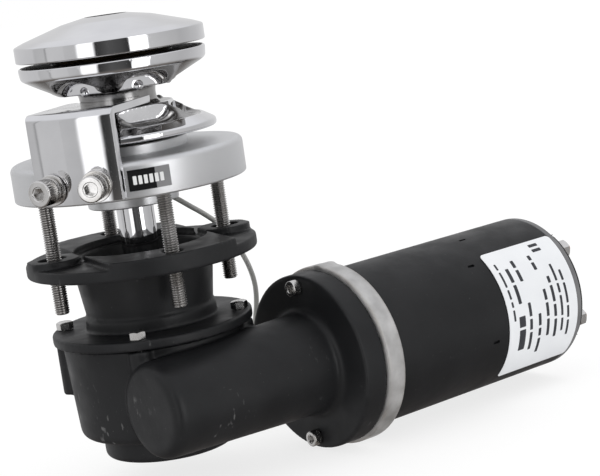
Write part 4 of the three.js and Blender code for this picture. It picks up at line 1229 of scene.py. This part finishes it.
def studio_world():
    """White to the camera, softly brighter overhead for shading, and for reflections a ring of
    white softboxes and dark gaps round the horizon."""
    world = bpy.data.worlds.new("studio")
    world.use_nodes = True
    world.cycles.sampling_method = "NONE"
    SCENE.world = world
    sky = Nodes(world.node_tree, "Generated")
    x, y, height = sky.node("SeparateXYZ", {0: sky.coords}).node.outputs
    part = sky.spread(sky.math("ARCTAN2", y, x), -math.pi, math.pi, 0, 1)
    ring = sky.node("ValToRGB", {0: part})
    stops = [  # degrees round the object, and the radiance there
        (-180, 0.58), (-165, 0.55), (-162, 1.4), (-144, 1.4), (-141, 0.035), (-125, 0.09),
        (-110, 0.07), (-101, 0.035), (-98.5, 2.4), (-79, 2.4), (-76, 0.6), (-30, 0.5), (40, 0.72),
        (131, 0.62), (135, 0.52), (151, 0.54), (153, 0.3), (155, 0.62),
    ]
    ramp = ring.node.color_ramp
    while len(ramp.elements) < len(stops):
        ramp.elements.new(0.5)
    for element, (degrees, level) in zip(ramp.elements, stops):
        element.position = (degrees + 180) / 360
        element.color = (level / BRIGHTEST, level / BRIGHTEST, 1.01 * level / BRIGHTEST, 1)
    softboxes = sky.node("VectorMath", {0: ring, "Scale": BRIGHTEST}, operation="SCALE")

    def above(low, high):
        """0 below one height of the sky's unit ball, 1 above another, and soft between."""
        inputs = {"Value": height, 1: low, 2: high}
        return sky.node("MapRange", inputs, interpolation_type="SMOOTHSTEP")

    level = sky.mix(above(-0.6, -0.22), (0.17, 0.155, 0.145), softboxes)
    reflected = sky.mix(above(0.35, 0.62), level, (0.80, 0.805, 0.83))
    shading = sky.mix(above(-0.3, 0.9), (0.78, 0.78, 0.78), (1.2, 1.2, 1.2))
    to_mirror = sky.node("LightPath", output="Is Glossy Ray")
    to_camera = sky.node("LightPath", output="Is Camera Ray")
    colour = sky.mix(to_camera, sky.mix(to_mirror, shading, reflected), (1.0, 1.0, 1.0))
    sky.put(sky.tree.nodes["Background"].inputs["Color"], colour)


def floor():
    """White to the eye, by its own light; it takes only a soft shadow and isn't reflected."""
    half = 9000
    corners = [(x * half, y * half, FLOOR) for x, y in ((-1, -1), (1, -1), (1, 1), (-1, 1))]
    plane = new_object("floor", corners, [(0, 1, 2, 3)])
    look = Look("floor", 0.9, 0)
    look.colour(look.mix(look.noise(3, 2), (0.24, 0.24, 0.24), (0.25, 0.25, 0.25)))
    look.inputs["Specular IOR Level"].default_value = 0
    look.inputs["Emission Color"].default_value = (1, 1, 1, 1)
    look.inputs["Emission Strength"].default_value = 0.77
    plane.data.materials.append(look.material)
    plane.visible_glossy = False


studio_world()
floor()
SCENE.view_settings.view_transform = "Standard"
